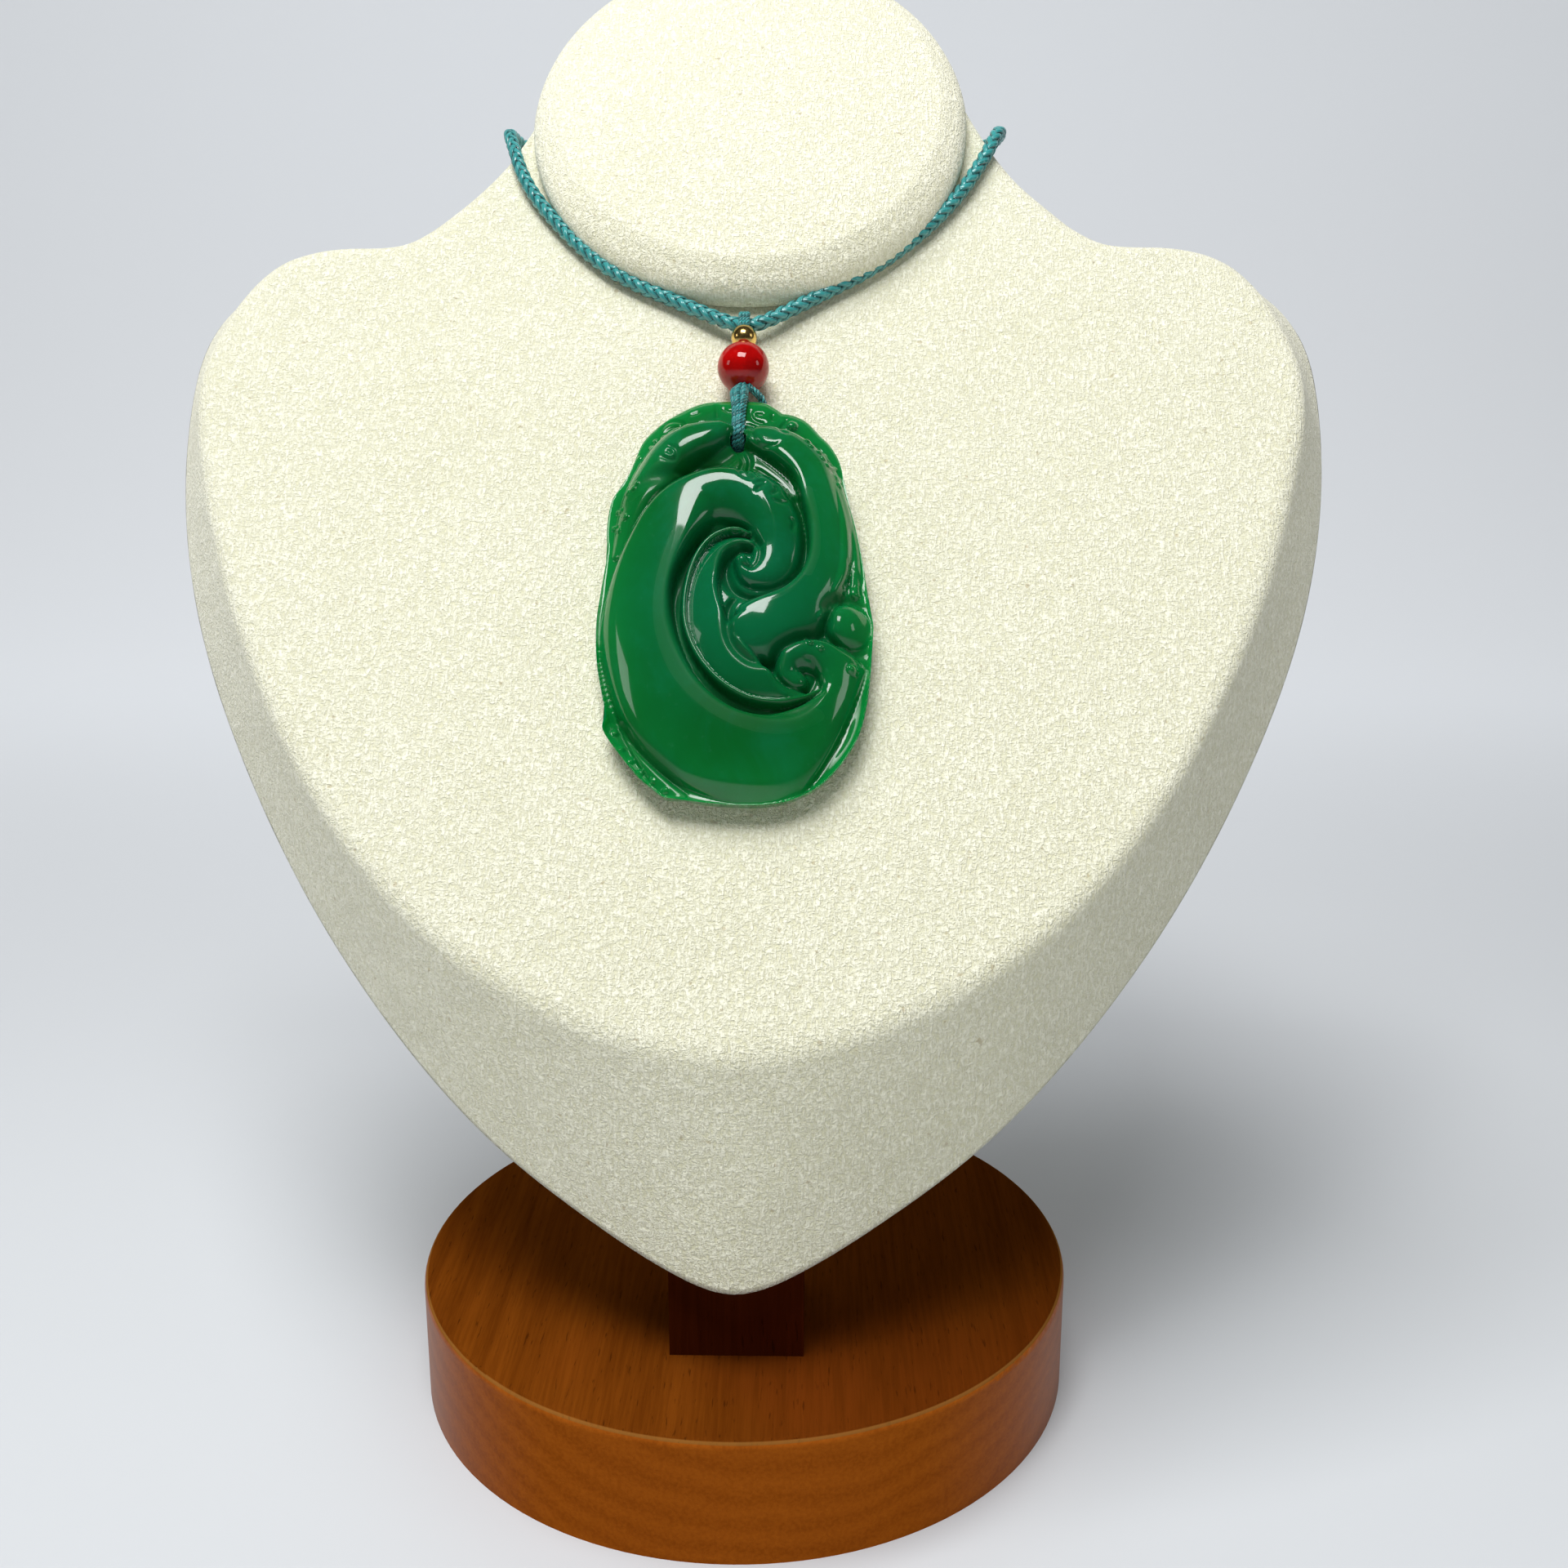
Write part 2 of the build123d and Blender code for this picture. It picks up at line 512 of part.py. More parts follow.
def carved_faces():
    """Flat faces that close the pendant: carved front, rolled edge, hole wall and flat back."""
    half = np.array((pendant_width, pendant_length)) / 2
    outer = even_loop(through(carving_outline, closed=True) * half, facet)
    turns = np.linspace(0, 2 * math.pi, hole_sides, endpoint=False)
    hole = hole_centre + hole_diameter / 2 * np.column_stack((np.cos(turns), np.sin(turns)))
    columns = np.arange(-half[0], half[0], facet)
    rows = np.arange(-half[1], half[1], facet * math.sqrt(3) / 2)
    lattice = np.array([(across + facet / 2 * (index % 2), up)
                        for index, up in enumerate(rows) for across in columns])
    clear = np.minimum(loop_distance(lattice, outer), -loop_distance(lattice, hole))
    points = np.vstack((outer, hole, lattice[clear > 0.6 * facet]))
    triangles = Delaunay(points).simplices
    middles = points[triangles].mean(axis=1)
    kept = np.minimum(loop_distance(middles, outer), -loop_distance(middles, hole)) > 0
    heights = carving_height(points, outer)
    heights[:len(outer)] = pendant_thickness * girdle_level
    front = np.column_stack((points, heights))
    faces = [front[corners] for corners in triangles[kept]]
    ahead = np.roll(outer, -1, axis=0) - np.roll(outer, 1, axis=0)
    inward = np.column_stack((-ahead[:, 1], ahead[:, 0])) / np.hypot(*ahead.T)[:, None]
    back_outer = np.column_stack((outer + inward * back_bevel, np.zeros(len(outer))))
    back_hole = np.column_stack((hole, np.zeros(len(hole))))
    hole_front = front[len(outer):len(outer) + len(hole)]
    for upper, lower in ((front[:len(outer)], back_outer), (hole_front, back_hole)):
        for here, there in zip(range(len(upper)), np.roll(np.arange(len(upper)), -1)):
            faces.append(np.array((upper[here], upper[there], lower[there])))
            faces.append(np.array((upper[here], lower[there], lower[here])))
    back = Face(Wire.make_polygon([Vector(*corner) for corner in back_outer]),
                [Wire.make_polygon([Vector(*corner) for corner in back_hole])])
    carved = [Face(Wire.make_polygon([Vector(*corner) for corner in corners])) for corners in faces]
    return carved + [back]


with BuildPart() as pendant:
    add(pendant_plane * Solid(Shell(carved_faces())))
pendant.part.label = "pendant"

# Thread: one closed loop over the neck cord, through both beads and through the pendant's hole
# Columns: up the front face, out of the front face, radius of the bend there
hole_up = pendant_centre_up + hole_centre[1]
strand = (thread_diameter + strand_gap) / 2
bore_top = gold_bead_up + gold_bead_diameter / 2 + bead_clear
bore_low = red_bead_up - red_bead_diameter / 2 - bead_clear
behind = thread_diameter / 2 + bead_seat
around_cord = (cord_diameter + thread_diameter) / 2
over_cord_up = cord_low_up + around_cord + thread_slack
front_leg_out = (pendant_top_lift + hole_rim_share * pendant_thickness + thread_diameter / 2
                 + thread_lift)
thread_route = (
    (over_cord_up, behind, 1.6),
    (cord_low_up - around_cord, behind, 1.0),
    (bore_top, bead_out - strand, 1.0),
    (bore_low, bead_out - strand, 2.0),
    (pendant_top - thread_slack, behind, 2.0),
    (hole_up, behind, 1.0),
    (hole_up, front_leg_out, 1.0),
    (pendant_top - thread_diameter, front_leg_out, 2.0),
    (bore_low, bead_out + strand, 2.0),
    (bore_top, bead_out + strand, 2.0),
    (over_cord_up, pulled_out + around_cord + thread_lift, 1.6),
)
thread_points = [chest.from_local_coords((bead_axis_x, up, out)) for up, out, bend in thread_route]
thread_radii = [bend for up, out, bend in thread_route]
with BuildPart() as pendant_thread:
    with BuildLine() as thread_line:
        FilletPolyline(*thread_points, radius=thread_radii, close=True)
    with BuildSketch(Plane(origin=thread_line.line @ 0, z_dir=thread_line.line % 0)):
        Circle(thread_diameter / 2)
    sweep()
pendant_thread.part.label = "pendant_thread"
report_tube(pendant_thread.part, thread_line.line, thread_diameter, thread_radii)

os.makedirs("parts", exist_ok=True)
for piece in (base_disc, post, bust, neck_cap, neck_cord, cord_knot, pendant_thread, gold_bead,
              red_bead, pendant):
    export_step(piece.part, f"parts/{piece.part.label}.step")
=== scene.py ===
import math

import bpy
import numpy as np
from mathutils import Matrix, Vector, noise
from mathutils.geometry import delaunay_2d_cdt


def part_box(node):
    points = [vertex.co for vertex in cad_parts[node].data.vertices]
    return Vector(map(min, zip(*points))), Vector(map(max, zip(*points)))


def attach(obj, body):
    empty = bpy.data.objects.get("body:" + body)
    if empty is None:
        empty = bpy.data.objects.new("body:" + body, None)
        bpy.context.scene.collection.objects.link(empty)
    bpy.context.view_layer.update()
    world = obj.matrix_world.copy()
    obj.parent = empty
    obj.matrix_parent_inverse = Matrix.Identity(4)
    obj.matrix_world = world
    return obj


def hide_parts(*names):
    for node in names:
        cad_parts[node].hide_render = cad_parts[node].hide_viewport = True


bl_info = {
    "name": "Carved Scroll Pendant on a Neck Bust",
    "version": (1, 0, 0),
    "blender": (4, 5, 0),
    "location": "View3D > Sidebar > Pendant",
    "description": "Dresses the packed pendant and its neck bust with cord, stone, cloth and wood",
    "category": "Add Mesh",
}

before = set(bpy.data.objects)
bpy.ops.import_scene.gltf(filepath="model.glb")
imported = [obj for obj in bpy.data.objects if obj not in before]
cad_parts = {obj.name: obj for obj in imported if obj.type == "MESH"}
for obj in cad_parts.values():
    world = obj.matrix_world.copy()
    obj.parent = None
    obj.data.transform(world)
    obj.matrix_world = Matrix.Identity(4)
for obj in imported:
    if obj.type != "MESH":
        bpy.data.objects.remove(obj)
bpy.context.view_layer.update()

MILLIMETRE = 0.001
BODY = "root"

# The front face's own axes: across, up its slope, out of it, from its lowest point
CHEST_LEAN = math.radians(37.0)
CHEST_LOW = np.array((0.0, -35.9, 65.6))
CHEST_ACROSS = np.array((1.0, 0.0, 0.0))
CHEST_UP = np.array((0.0, math.sin(CHEST_LEAN), math.cos(CHEST_LEAN)))
CHEST_OUT = np.array((0.0, -math.cos(CHEST_LEAN), math.sin(CHEST_LEAN)))

# The back face's own axes
REAR_LEAN = math.radians(34.0)
REAR_LOW = np.array((0.0, -36.0, 31.0))
REAR_UP = np.array((0.0, math.sin(REAR_LEAN), math.cos(REAR_LEAN)))


def on_chest(points):
    """Points in the row frame, in millimetres, from columns across, up and out of the chest."""
    points = np.asarray(points, dtype=float)
    return (CHEST_LOW + points[..., 0:1] * CHEST_ACROSS + points[..., 1:2] * CHEST_UP
            + points[..., 2:3] * CHEST_OUT)


def on_rear(points):
    """Points in the row frame, in millimetres, from columns across and up the back face."""
    points = np.asarray(points, dtype=float)
    return REAR_LOW + points[..., 0:1] * CHEST_ACROSS + points[..., 1:2] * REAR_UP


# Shader nodes as plain expressions


class Signal:
    """A shader socket that can stand in arithmetic: each operation adds one Math node."""

    def __init__(self, finish, socket):
        self.finish = finish
        self.socket = socket

    def worked(self, operation, *values):
        return self.finish.node("ShaderNodeMath", {"operation": operation}, dict(enumerate(values)))

    def __add__(self, other):
        return self.worked("ADD", self, other)

    def __sub__(self, other):
        return self.worked("SUBTRACT", self, other)

    def __rsub__(self, other):
        return self.worked("SUBTRACT", other, self)

    def __mul__(self, other):
        return self.worked("MULTIPLY", self, other)

    __radd__ = __add__
    __rmul__ = __mul__

    def sine(self):
        return self.worked("SINE", self)

    def held(self):
        """The same value kept from 0 to 1."""
        return self.finish.node("ShaderNodeClamp", {}, {0: self})


class Finish:
    """One material, grown node by node around its Principled shader."""

    def __init__(self, name, **fixed):
        self.material = bpy.data.materials.new(name)
        self.material.use_nodes = True
        self.tree = self.material.node_tree
        self.shader = self.tree.nodes["Principled BSDF"]
        for socket, value in fixed.items():
            self.shader.inputs[socket.replace("_", " ")].default_value = value

    def node(self, kind, settings, feeds, output=0):
        """Add a node: its settings first, then the values or links of its sockets."""
        made = self.tree.nodes.new(kind)
        for name, value in settings.items():
            setattr(made, name, value)
        for name, value in feeds.items():
            if isinstance(value, Signal):
                self.tree.links.new(value.socket, made.inputs[name])
            else:
                made.inputs[name].default_value = value
        return Signal(self, made.outputs[output])

    def place(self, stretch=(1.0, 1.0, 1.0)):
        """Position in the row frame, in millimetres, stretched along each axis."""
        where = self.node("ShaderNodeTexCoord", {}, {}, "Object")
        scale = tuple(share / MILLIMETRE for share in stretch)
        return self.node("ShaderNodeVectorMath", {"operation": "MULTIPLY"}, {0: where, 1: scale})

    def grain(self, where, scale, detail=2.0, roughness=0.5, distortion=0.0):
        return self.node("ShaderNodeTexNoise", {}, {
            "Vector": where, "Scale": scale, "Detail": detail, "Roughness": roughness,
            "Distortion": distortion})

    def distance(self, where, centre):
        """Distance of a position from a fixed point."""
        return self.node("ShaderNodeVectorMath", {"operation": "DISTANCE"}, {
            0: where, 1: tuple(centre)}, "Value")

    def coordinate(self, where, axis):
        """One coordinate of a position, 0 to 2 for X to Z."""
        return self.node("ShaderNodeSeparateXYZ", {}, {0: where}, axis)

    def mark(self, name):
        """A value that the mesh carries at each point."""
        return self.node("ShaderNodeAttribute", {"attribute_name": name}, {}, "Fac")

    def between(self, share, low, high):
        """Colour from low to high as the share goes from 0 to 1."""
        low, high = ((*c, 1.0) if isinstance(c, tuple) and len(c) == 3 else c for c in (low, high))
        return self.node("ShaderNodeMix", {"data_type": "RGBA"}, {0: share, 6: low, 7: high}, 2)

    def ranged(self, value, low, high):
        """0 below low, 1 above high, and smooth between them."""
        return self.node("ShaderNodeMapRange", {"interpolation_type": "SMOOTHSTEP"}, {
            "Value": value, "From Min": low, "From Max": high})

    def bump(self, height, distance, strength):
        """Normal of a height in shares of the distance, which is in millimetres."""
        return self.node("ShaderNodeBump", {}, {
            "Strength": strength, "Distance": distance * MILLIMETRE, "Height": height})

    def feed(self, **links):
        for name, value in links.items():
            self.tree.links.new(value.socket, self.shader.inputs[name.replace("_", " ")])
        return self.material


# Meshes from arrays


def add_piece(name, points, faces, material, slot, replaced, marks=None):
    """A smooth mesh piece from points in millimetres, riding on the display's only body."""
    mesh = bpy.data.meshes.new(name)
    mesh.from_pydata((np.asarray(points) * MILLIMETRE).tolist(), [], faces)
    for mark, values in (marks or {}).items():
        mesh.attributes.new(mark, "FLOAT", "POINT").data.foreach_set(
            "value", np.asarray(values, dtype=np.float32))
    mesh.materials.append(material)
    mesh.shade_smooth()
    piece = bpy.data.objects.new(name, mesh)
    bpy.context.scene.collection.objects.link(piece)
    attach(piece, BODY)
    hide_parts(replaced)
    return piece


def sheet_faces(rows, columns, closed=True):
    """Quads of a sheet of points, row after row, joined round where its columns are closed."""
    across = columns if closed else columns - 1
    row, column = np.meshgrid(np.arange(rows - 1), np.arange(across), indexing="ij")
    here = row * columns + column
    beside = row * columns + (column + 1) % columns
    quads = np.stack((here, beside, beside + columns, here + columns), axis=-1)
    return quads.reshape(-1, 4).tolist()


def through(rows, closed=False, per_span=10):
    """Stations on a smooth curve through the rows, with every column carried along."""
    rows = np.array(rows, dtype=float)
    if len(rows) == 1:
        return rows
    before, after = ((rows[-1], rows[:2]) if closed
                     else (2 * rows[0] - rows[1], 2 * rows[-1:] - rows[-2]))
    rows = np.vstack((before, rows, after))
    steps = np.linspace(0, 1, per_span, endpoint=False)[:, None]
    spans = []
    for a, b, c, d in zip(rows, rows[1:], rows[2:], rows[3:]):
        spans.append(0.5 * (2 * b + (c - a) * steps + (2 * a - 5 * b + 4 * c - d) * steps ** 2
                            + (3 * b - a - 3 * c + d) * steps ** 3))
    if not closed:
        spans.append(rows[-2:-1])
    return np.vstack(spans)


def travelled(line):
    """Length along a line up to each of its points."""
    steps = np.linalg.norm(np.diff(line, axis=0), axis=1)
    return np.concatenate(([0.0], np.cumsum(steps)))


def even_line(line, count):
    """The same line with that many evenly spaced points."""
    along = travelled(line)
    places = np.linspace(0, along[-1], count)
    return np.column_stack([np.interp(places, along, column) for column in line.T])


def even_loop(loop, spacing):
    """The same closed loop with its points evenly spaced."""
    closed = np.vstack((loop, loop[:1]))
    return even_line(closed, round(travelled(closed)[-1] / spacing) + 1)[:-1]


def line_frames(line):
    """Unit directions along a line and two across it that turn as little as they can."""
    ahead = np.gradient(line, axis=0)
    ahead /= np.linalg.norm(ahead, axis=1)[:, None]
    side = np.empty_like(line)
    first = np.cross(ahead[0], CHEST_OUT)
    side[0] = first / np.linalg.norm(first)
    for index in range(1, len(line)):
        flat = side[index - 1] - side[index - 1].dot(ahead[index]) * ahead[index]
        side[index] = flat / np.linalg.norm(flat)
    return ahead, side, np.cross(ahead, side)


def tube(line, half_width, half_height, sides, lifted=None):
    """Points and faces of an oval tube along a line, closed by a flat face at each end."""
    ahead, side, rise = line_frames(line)
    if lifted is not None:
        rise = lifted
        side = np.cross(rise, ahead)
        side /= np.linalg.norm(side, axis=1)[:, None]
    turns = np.linspace(0, 2 * math.pi, sides, endpoint=False)
    ring = (np.cos(turns)[None, :, None] * side[:, None] * half_width
            + np.sin(turns)[None, :, None] * rise[:, None] * half_height)
    points = (line[:, None] + ring).reshape(-1, 3)
    last = (len(line) - 1) * sides
    faces = sheet_faces(len(line), sides)
    faces += [range(sides - 1, -1, -1), range(last, last + sides)]
    return points, faces


def joined(parts):
    """Several sets of points, faces and marks as one."""
    faces, first = [], 0
    for points, some_faces, marks in parts:
        faces += [[corner + first for corner in face] for face in some_faces]
        first += len(points)
    marks = {name: np.concatenate([part[2][name] for part in parts]) for name in parts[0][2]}
    return np.vstack([part[0] for part in parts]), faces, marks


# Braided neck cord

# Its route in the front face's own axes, in metres, from the knot's left end round to its right
CORD_ROUTE = (
    (-0.0045, 0.1665, -0.01367), (-0.0145, 0.1665, -0.01367), (-0.0260, 0.1674, -0.01427),
    (-0.0355, 0.1670, -0.01367), (-0.0413, 0.1653, -0.00980), (-0.0424, 0.1620, -0.00360),
    (-0.0411, 0.1566, 0.00130), (-0.0381, 0.1468, 0.00170), (-0.0336, 0.1396, 0.00160),
    (-0.0270, 0.1316, 0.00160), (-0.0206, 0.1261, 0.00160), (-0.0120, 0.1216, 0.00160),
    (-0.0022, 0.1158, 0.00260), (0.0014, 0.1158, 0.00260), (0.0110, 0.1226, 0.00160),
    (0.0205, 0.1285, 0.00160), (0.0286, 0.1362, 0.00160), (0.0346, 0.1440, 0.00160),
    (0.0389, 0.1520, 0.00170), (0.0410, 0.1574, 0.00120),
    (0.0424, 0.1622, -0.00380), (0.0411, 0.1654, -0.01000), (0.0352, 0.1672, -0.01367),
    (0.0256, 0.1674, -0.01427), (0.0145, 0.1665, -0.01367), (0.0045, 0.1665, -0.01367),
)

# The braid: its stations' spacing in millimetres, the rest as shares of the cord's diameter
BRAID_SPACING = 0.3
STRAND_PAIRS = 4
STRAND_SIDES = 8
CORE_SIDES = 10
STRAND_HALF_WIDE = 0.22
STRAND_HALF_HIGH = 0.155
WEAVE_SWING = 0.17 / 2.4

# The knot: a finer braid wrapped round and round
KNOT_DIAMETER = 1.7
KNOT_TURNS = 4.3
KNOT_STATIONS = 260
KNOT_LAY_SHARE = 0.8

# The thread: its spacing and lay in millimetres, the rest as shares of a ply's width
THREAD_SPACING = 0.18
THREAD_LAY = 1.9
PLIES = 3
PLY_SIDES = 7
PLY_OFFSET = 0.55
PLY_HALF_WIDE = 0.56
PLY_HALF_HIGH = 0.5

# How much the strands of the cord and of the thread differ in tone
CORD_CONTRAST = 0.25
THREAD_CONTRAST = 1.6


def smooth_route(route):
    """Points, in millimetres, of the smooth line whose control points are the route's."""
    curve = bpy.data.curves.new("cord_route", "CURVE")
    curve.dimensions = "3D"
    curve.resolution_u = 24
    spline = curve.splines.new("NURBS")
    points = on_chest(np.array(route) / MILLIMETRE) * MILLIMETRE
    spline.points.add(len(points) - 1)
    for control, point in zip(spline.points, points):
        control.co = (*point, 1.0)
    spline.order_u = 3
    spline.use_endpoint_u = True
    holder = bpy.data.objects.new("cord_route", curve)
    mesh = bpy.data.meshes.new_from_object(holder)
    line = np.array([vertex.co for vertex in mesh.vertices]) / MILLIMETRE
    bpy.data.meshes.remove(mesh)
    bpy.data.objects.remove(holder)
    bpy.data.curves.remove(curve)
    return line


def stationed(line, spacing):
    """Evenly spaced points on a line, their lengths along it, and two directions across it."""
    line = even_line(line, round(travelled(line)[-1] / spacing))
    _, side, rise = line_frames(line)
    return line, travelled(line), side, rise


def strand(line, along, size, fibre, tone, lifted=None):
    """Points and faces of a strand, marked with the place round it and along it, and its tone."""
    points, faces = tube(line, *size, len(fibre), lifted)
    return points, faces, {"fibre": np.tile(fibre, len(line)),
                           "reach": np.repeat(along, len(fibre)),
                           "tone": np.full(len(points), tone)}


def outward(turn, side, rise):
    """Unit directions across a line at the given turns round it."""
    return np.cos(turn)[:, None] * side + np.sin(turn)[:, None] * rise


def braid(line, diameter, lay):
    """Round braid along a line: strands run both ways round a core, over two and under two."""
    line, along, side, rise = stationed(line, BRAID_SPACING)
    size = np.array((STRAND_HALF_WIDE, STRAND_HALF_HIGH)) * diameter
    swing = WEAVE_SWING * diameter
    middle = diameter / 2 - size[1] - swing
    fibre = np.linspace(0, 1, STRAND_SIDES, endpoint=False)
    parts = [strand(line, along, (middle, middle), np.zeros(CORE_SIDES), 0.0)]
    for way in (1, -1):
        for pair in range(STRAND_PAIRS):
            turn = way * 2 * math.pi * along / lay + pair * 2 * math.pi / STRAND_PAIRS
            wave = np.cos(4 * math.pi * along / lay + way * (math.pi * pair - math.pi / 4))
            out = outward(turn, side, rise)
            tone = (pair * 2 + (way > 0)) / (2 * STRAND_PAIRS) + 0.1
            parts.append(strand(line + out * (middle + way * wave * swing)[:, None], along, size,
                                fibre, tone, lifted=out))
    return joined(parts)


def twisted(line, ply_width):
    """Plies twisted round each other along a line."""
    line, along, side, rise = stationed(line, THREAD_SPACING)
    size = np.array((PLY_HALF_WIDE, PLY_HALF_HIGH)) * ply_width
    fibre = np.linspace(0, 1, PLY_SIDES, endpoint=False)
    parts = []
    for ply in range(PLIES):
        out = outward(2 * math.pi * (along / THREAD_LAY + ply / PLIES), side, rise)
        parts.append(strand(line + out * ply_width * PLY_OFFSET, along, size, fibre,
                            0.2 + 0.6 * ply / PLIES, lifted=out))
    return joined(parts)


def silky_cord(name, dark, light, contrast):
    """Dyed silky thread: fine fibres along each strand, strands that differ in tone, and painted
    shade in the braid's hollows with painted light on the strands' crowns.
    """
    finish = Finish(name, Roughness=0.26, Specular_IOR_Level=1.0, Sheen_Weight=0.1,
                    Sheen_Roughness=0.4)
    fibre = finish.mark("fibre")
    reach = finish.mark("reach")
    tone = finish.mark("tone")
    threads = (fibre * (16 * math.pi) + reach * 1.5).sine()
    mottle = finish.grain(finish.place(), 0.9, 3.0)
    # Painted light and shade: each strand is lighter on its outward crown and darker on its side
    # towards the braid's hollows
    crown = finish.ranged((fibre * (2 * math.pi)).sine(), -0.25, 0.98)
    share = (crown + (tone - 0.5) * contrast + mottle * 0.4 + threads * 0.1 - 0.26).held()
    return finish.feed(Base_Color=finish.between(share, dark, light),
                       Roughness=0.2 + mottle * 0.12,
                       Normal=finish.bump(threads * 0.5 + 0.5, 0.035, 0.8))


# Strands that carry the beads and the pendant, in the front face's own axes, in millimetres
# Route round the neck cord and down into the beads, columns up, out and share of the spread
CORD_LOOP = (
    (112.4, 4.85, 0.8), (113.6, 5.0, 1.0), (115.2, 4.9, 1.0), (116.6, 4.4, 1.0),
    (117.4, 3.3, 0.8), (117.4, 2.0, 0.5), (116.4, 1.0, 0.2), (114.7, 1.1, 0.2),
    (113.4, 2.4, 0.4), (112.2, 3.7, 0.5), (108.5, 3.9, 0.5), (105.0, 4.3, 0.5),
    (108.5, 4.7, 0.6),
)
CORD_LOOP_MIDDLE = -0.62
CORD_LOOP_SPREAD = (-0.5, 0.0, 0.5)
# Route from the red bead over the pendant's top edge, through its hole and up behind it
# Columns: up, out, share of the way from the bead's spread to the fan's, then to the hole's
HOLE_LOOP = (
    (105.0, 4.5, 0.0, 0.0), (103.2, 4.7, 0.1, 0.0), (102.0, 5.1, 0.5, 0.0), (100.7, 6.1, 0.9, 0.0),
    (99.3, 7.1, 1.0, 0.1), (97.5, 7.7, 0.85, 0.35), (95.5, 7.85, 0.55, 0.7), (93.6, 7.9, 0.2, 0.95),
    (92.2, 7.9, 0.0, 1.0), (91.3, 7.2, 0.0, 1.0), (90.8, 5.9, 0.0, 1.0), (90.75, 4.0, 0.0, 1.0),
    (90.8, 2.0, 0.0, 1.0), (91.6, 1.0, 0.0, 1.0), (93.6, 0.85, 0.3, 0.7), (96.5, 0.9, 0.6, 0.4),
    (99.0, 1.3, 0.6, 0.1), (100.9, 2.4, 0.4, 0.0), (102.4, 3.5, 0.2, 0.0), (103.6, 4.1, 0.0, 0.0),
)
# Columns: across in the bead, across where the strands fan out, across in the hole, and lift where
# the route is further out than the height below
LIFTED_ABOVE = 4.2
HOLE_STRANDS = (
    (-0.95, -2.02, -1.58, 0.00), (-0.78, -1.50, -1.24, 0.16), (-0.60, -0.98, -0.94, 0.04),
    (-0.44, -0.46, -0.62, 0.20), (-0.28, 0.06, -0.30, 0.02), (-0.72, -1.24, -1.06, 0.42),
    (-0.50, -0.16, -0.72, 0.46),
)
# Strand that leaves the bead to the right and goes behind the pendant, columns across, up and out,
# and how far its twin lies from it
SIDE_STRAND = (
    (-0.3, 105.0, 4.3), (-0.1, 103.0, 4.6), (0.5, 101.9, 5.0), (1.5, 101.0, 4.9),
    (2.3, 100.0, 4.3), (2.7, 98.8, 2.6), (2.3, 97.0, 1.1), (1.2, 95.0, 0.9), (0.2, 97.5, 1.0),
    (-0.3, 100.5, 2.2), (-0.5, 103.2, 4.0),
)
SIDE_TWIN = (0.35, -0.1, 0.3)


def strand_loops():
    """Closed lines, in millimetres, of all the strands through the beads."""
    loops = [[(CORD_LOOP_MIDDLE + aside * share, up, out) for up, out, share in CORD_LOOP]
             for aside in CORD_LOOP_SPREAD]
    for bead, fan, hole, lift in HOLE_STRANDS:
        loops.append([(bead + (fan - bead) * fanned * (1 - held) + (hole - bead) * held, up,
                       out + (lift if out > LIFTED_ABOVE else 0.0))
                      for up, out, fanned, held in HOLE_LOOP])
    loops += [SIDE_STRAND, np.array(SIDE_STRAND) + SIDE_TWIN]
    lines = [on_chest(through(loop, closed=True, per_span=12)) for loop in loops]
    return [np.vstack((line, line[:2])) for line in lines]


def knot_coil():
    """Line of the knot's wraps, inside the box of its solid."""
    low, high = (np.array(corner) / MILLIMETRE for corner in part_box("cord_knot"))
    turn = np.linspace(0, KNOT_TURNS * 2 * math.pi, KNOT_STATIONS)
    reach = (high[1] - low[1]) / 2 - KNOT_DIAMETER / 2
    span = high[0] - low[0] - KNOT_DIAMETER
    return (low + high) / 2 + np.column_stack((
        (turn / turn[-1] - 0.5) * span, reach * np.cos(turn), reach * np.sin(turn)))


class CordSettings(bpy.types.PropertyGroup):
    diameter: bpy.props.FloatProperty(
        name="Diameter", description="Outer diameter of the braided neck cord",
        default=0.0024, min=0.001, max=0.006, unit="LENGTH", precision=4)
    lay: bpy.props.FloatProperty(
        name="Lay", description="Length in which a strand goes once round the cord",
        default=0.0082, min=0.002, max=0.02, unit="LENGTH", precision=4)
    ply_width: bpy.props.FloatProperty(
        name="Thread ply", description="Width of one ply of the thread through the beads",
        default=0.00042, min=0.0001, max=0.002, unit="LENGTH", precision=5)
    # The dark colour is painted shade in the braid's hollows, the light one painted light on the
    # strands' crowns
    dark: bpy.props.FloatVectorProperty(
        name="Painted shade", description="Colour in the hollows of the braid", subtype="COLOR",
        default=(0.0003, 0.022, 0.025), min=0.0, max=1.0)
    light: bpy.props.FloatVectorProperty(
        name="Painted light", description="Colour on the crowns of the strands", subtype="COLOR",
        default=(0.036, 0.305, 0.305), min=0.0, max=1.0)


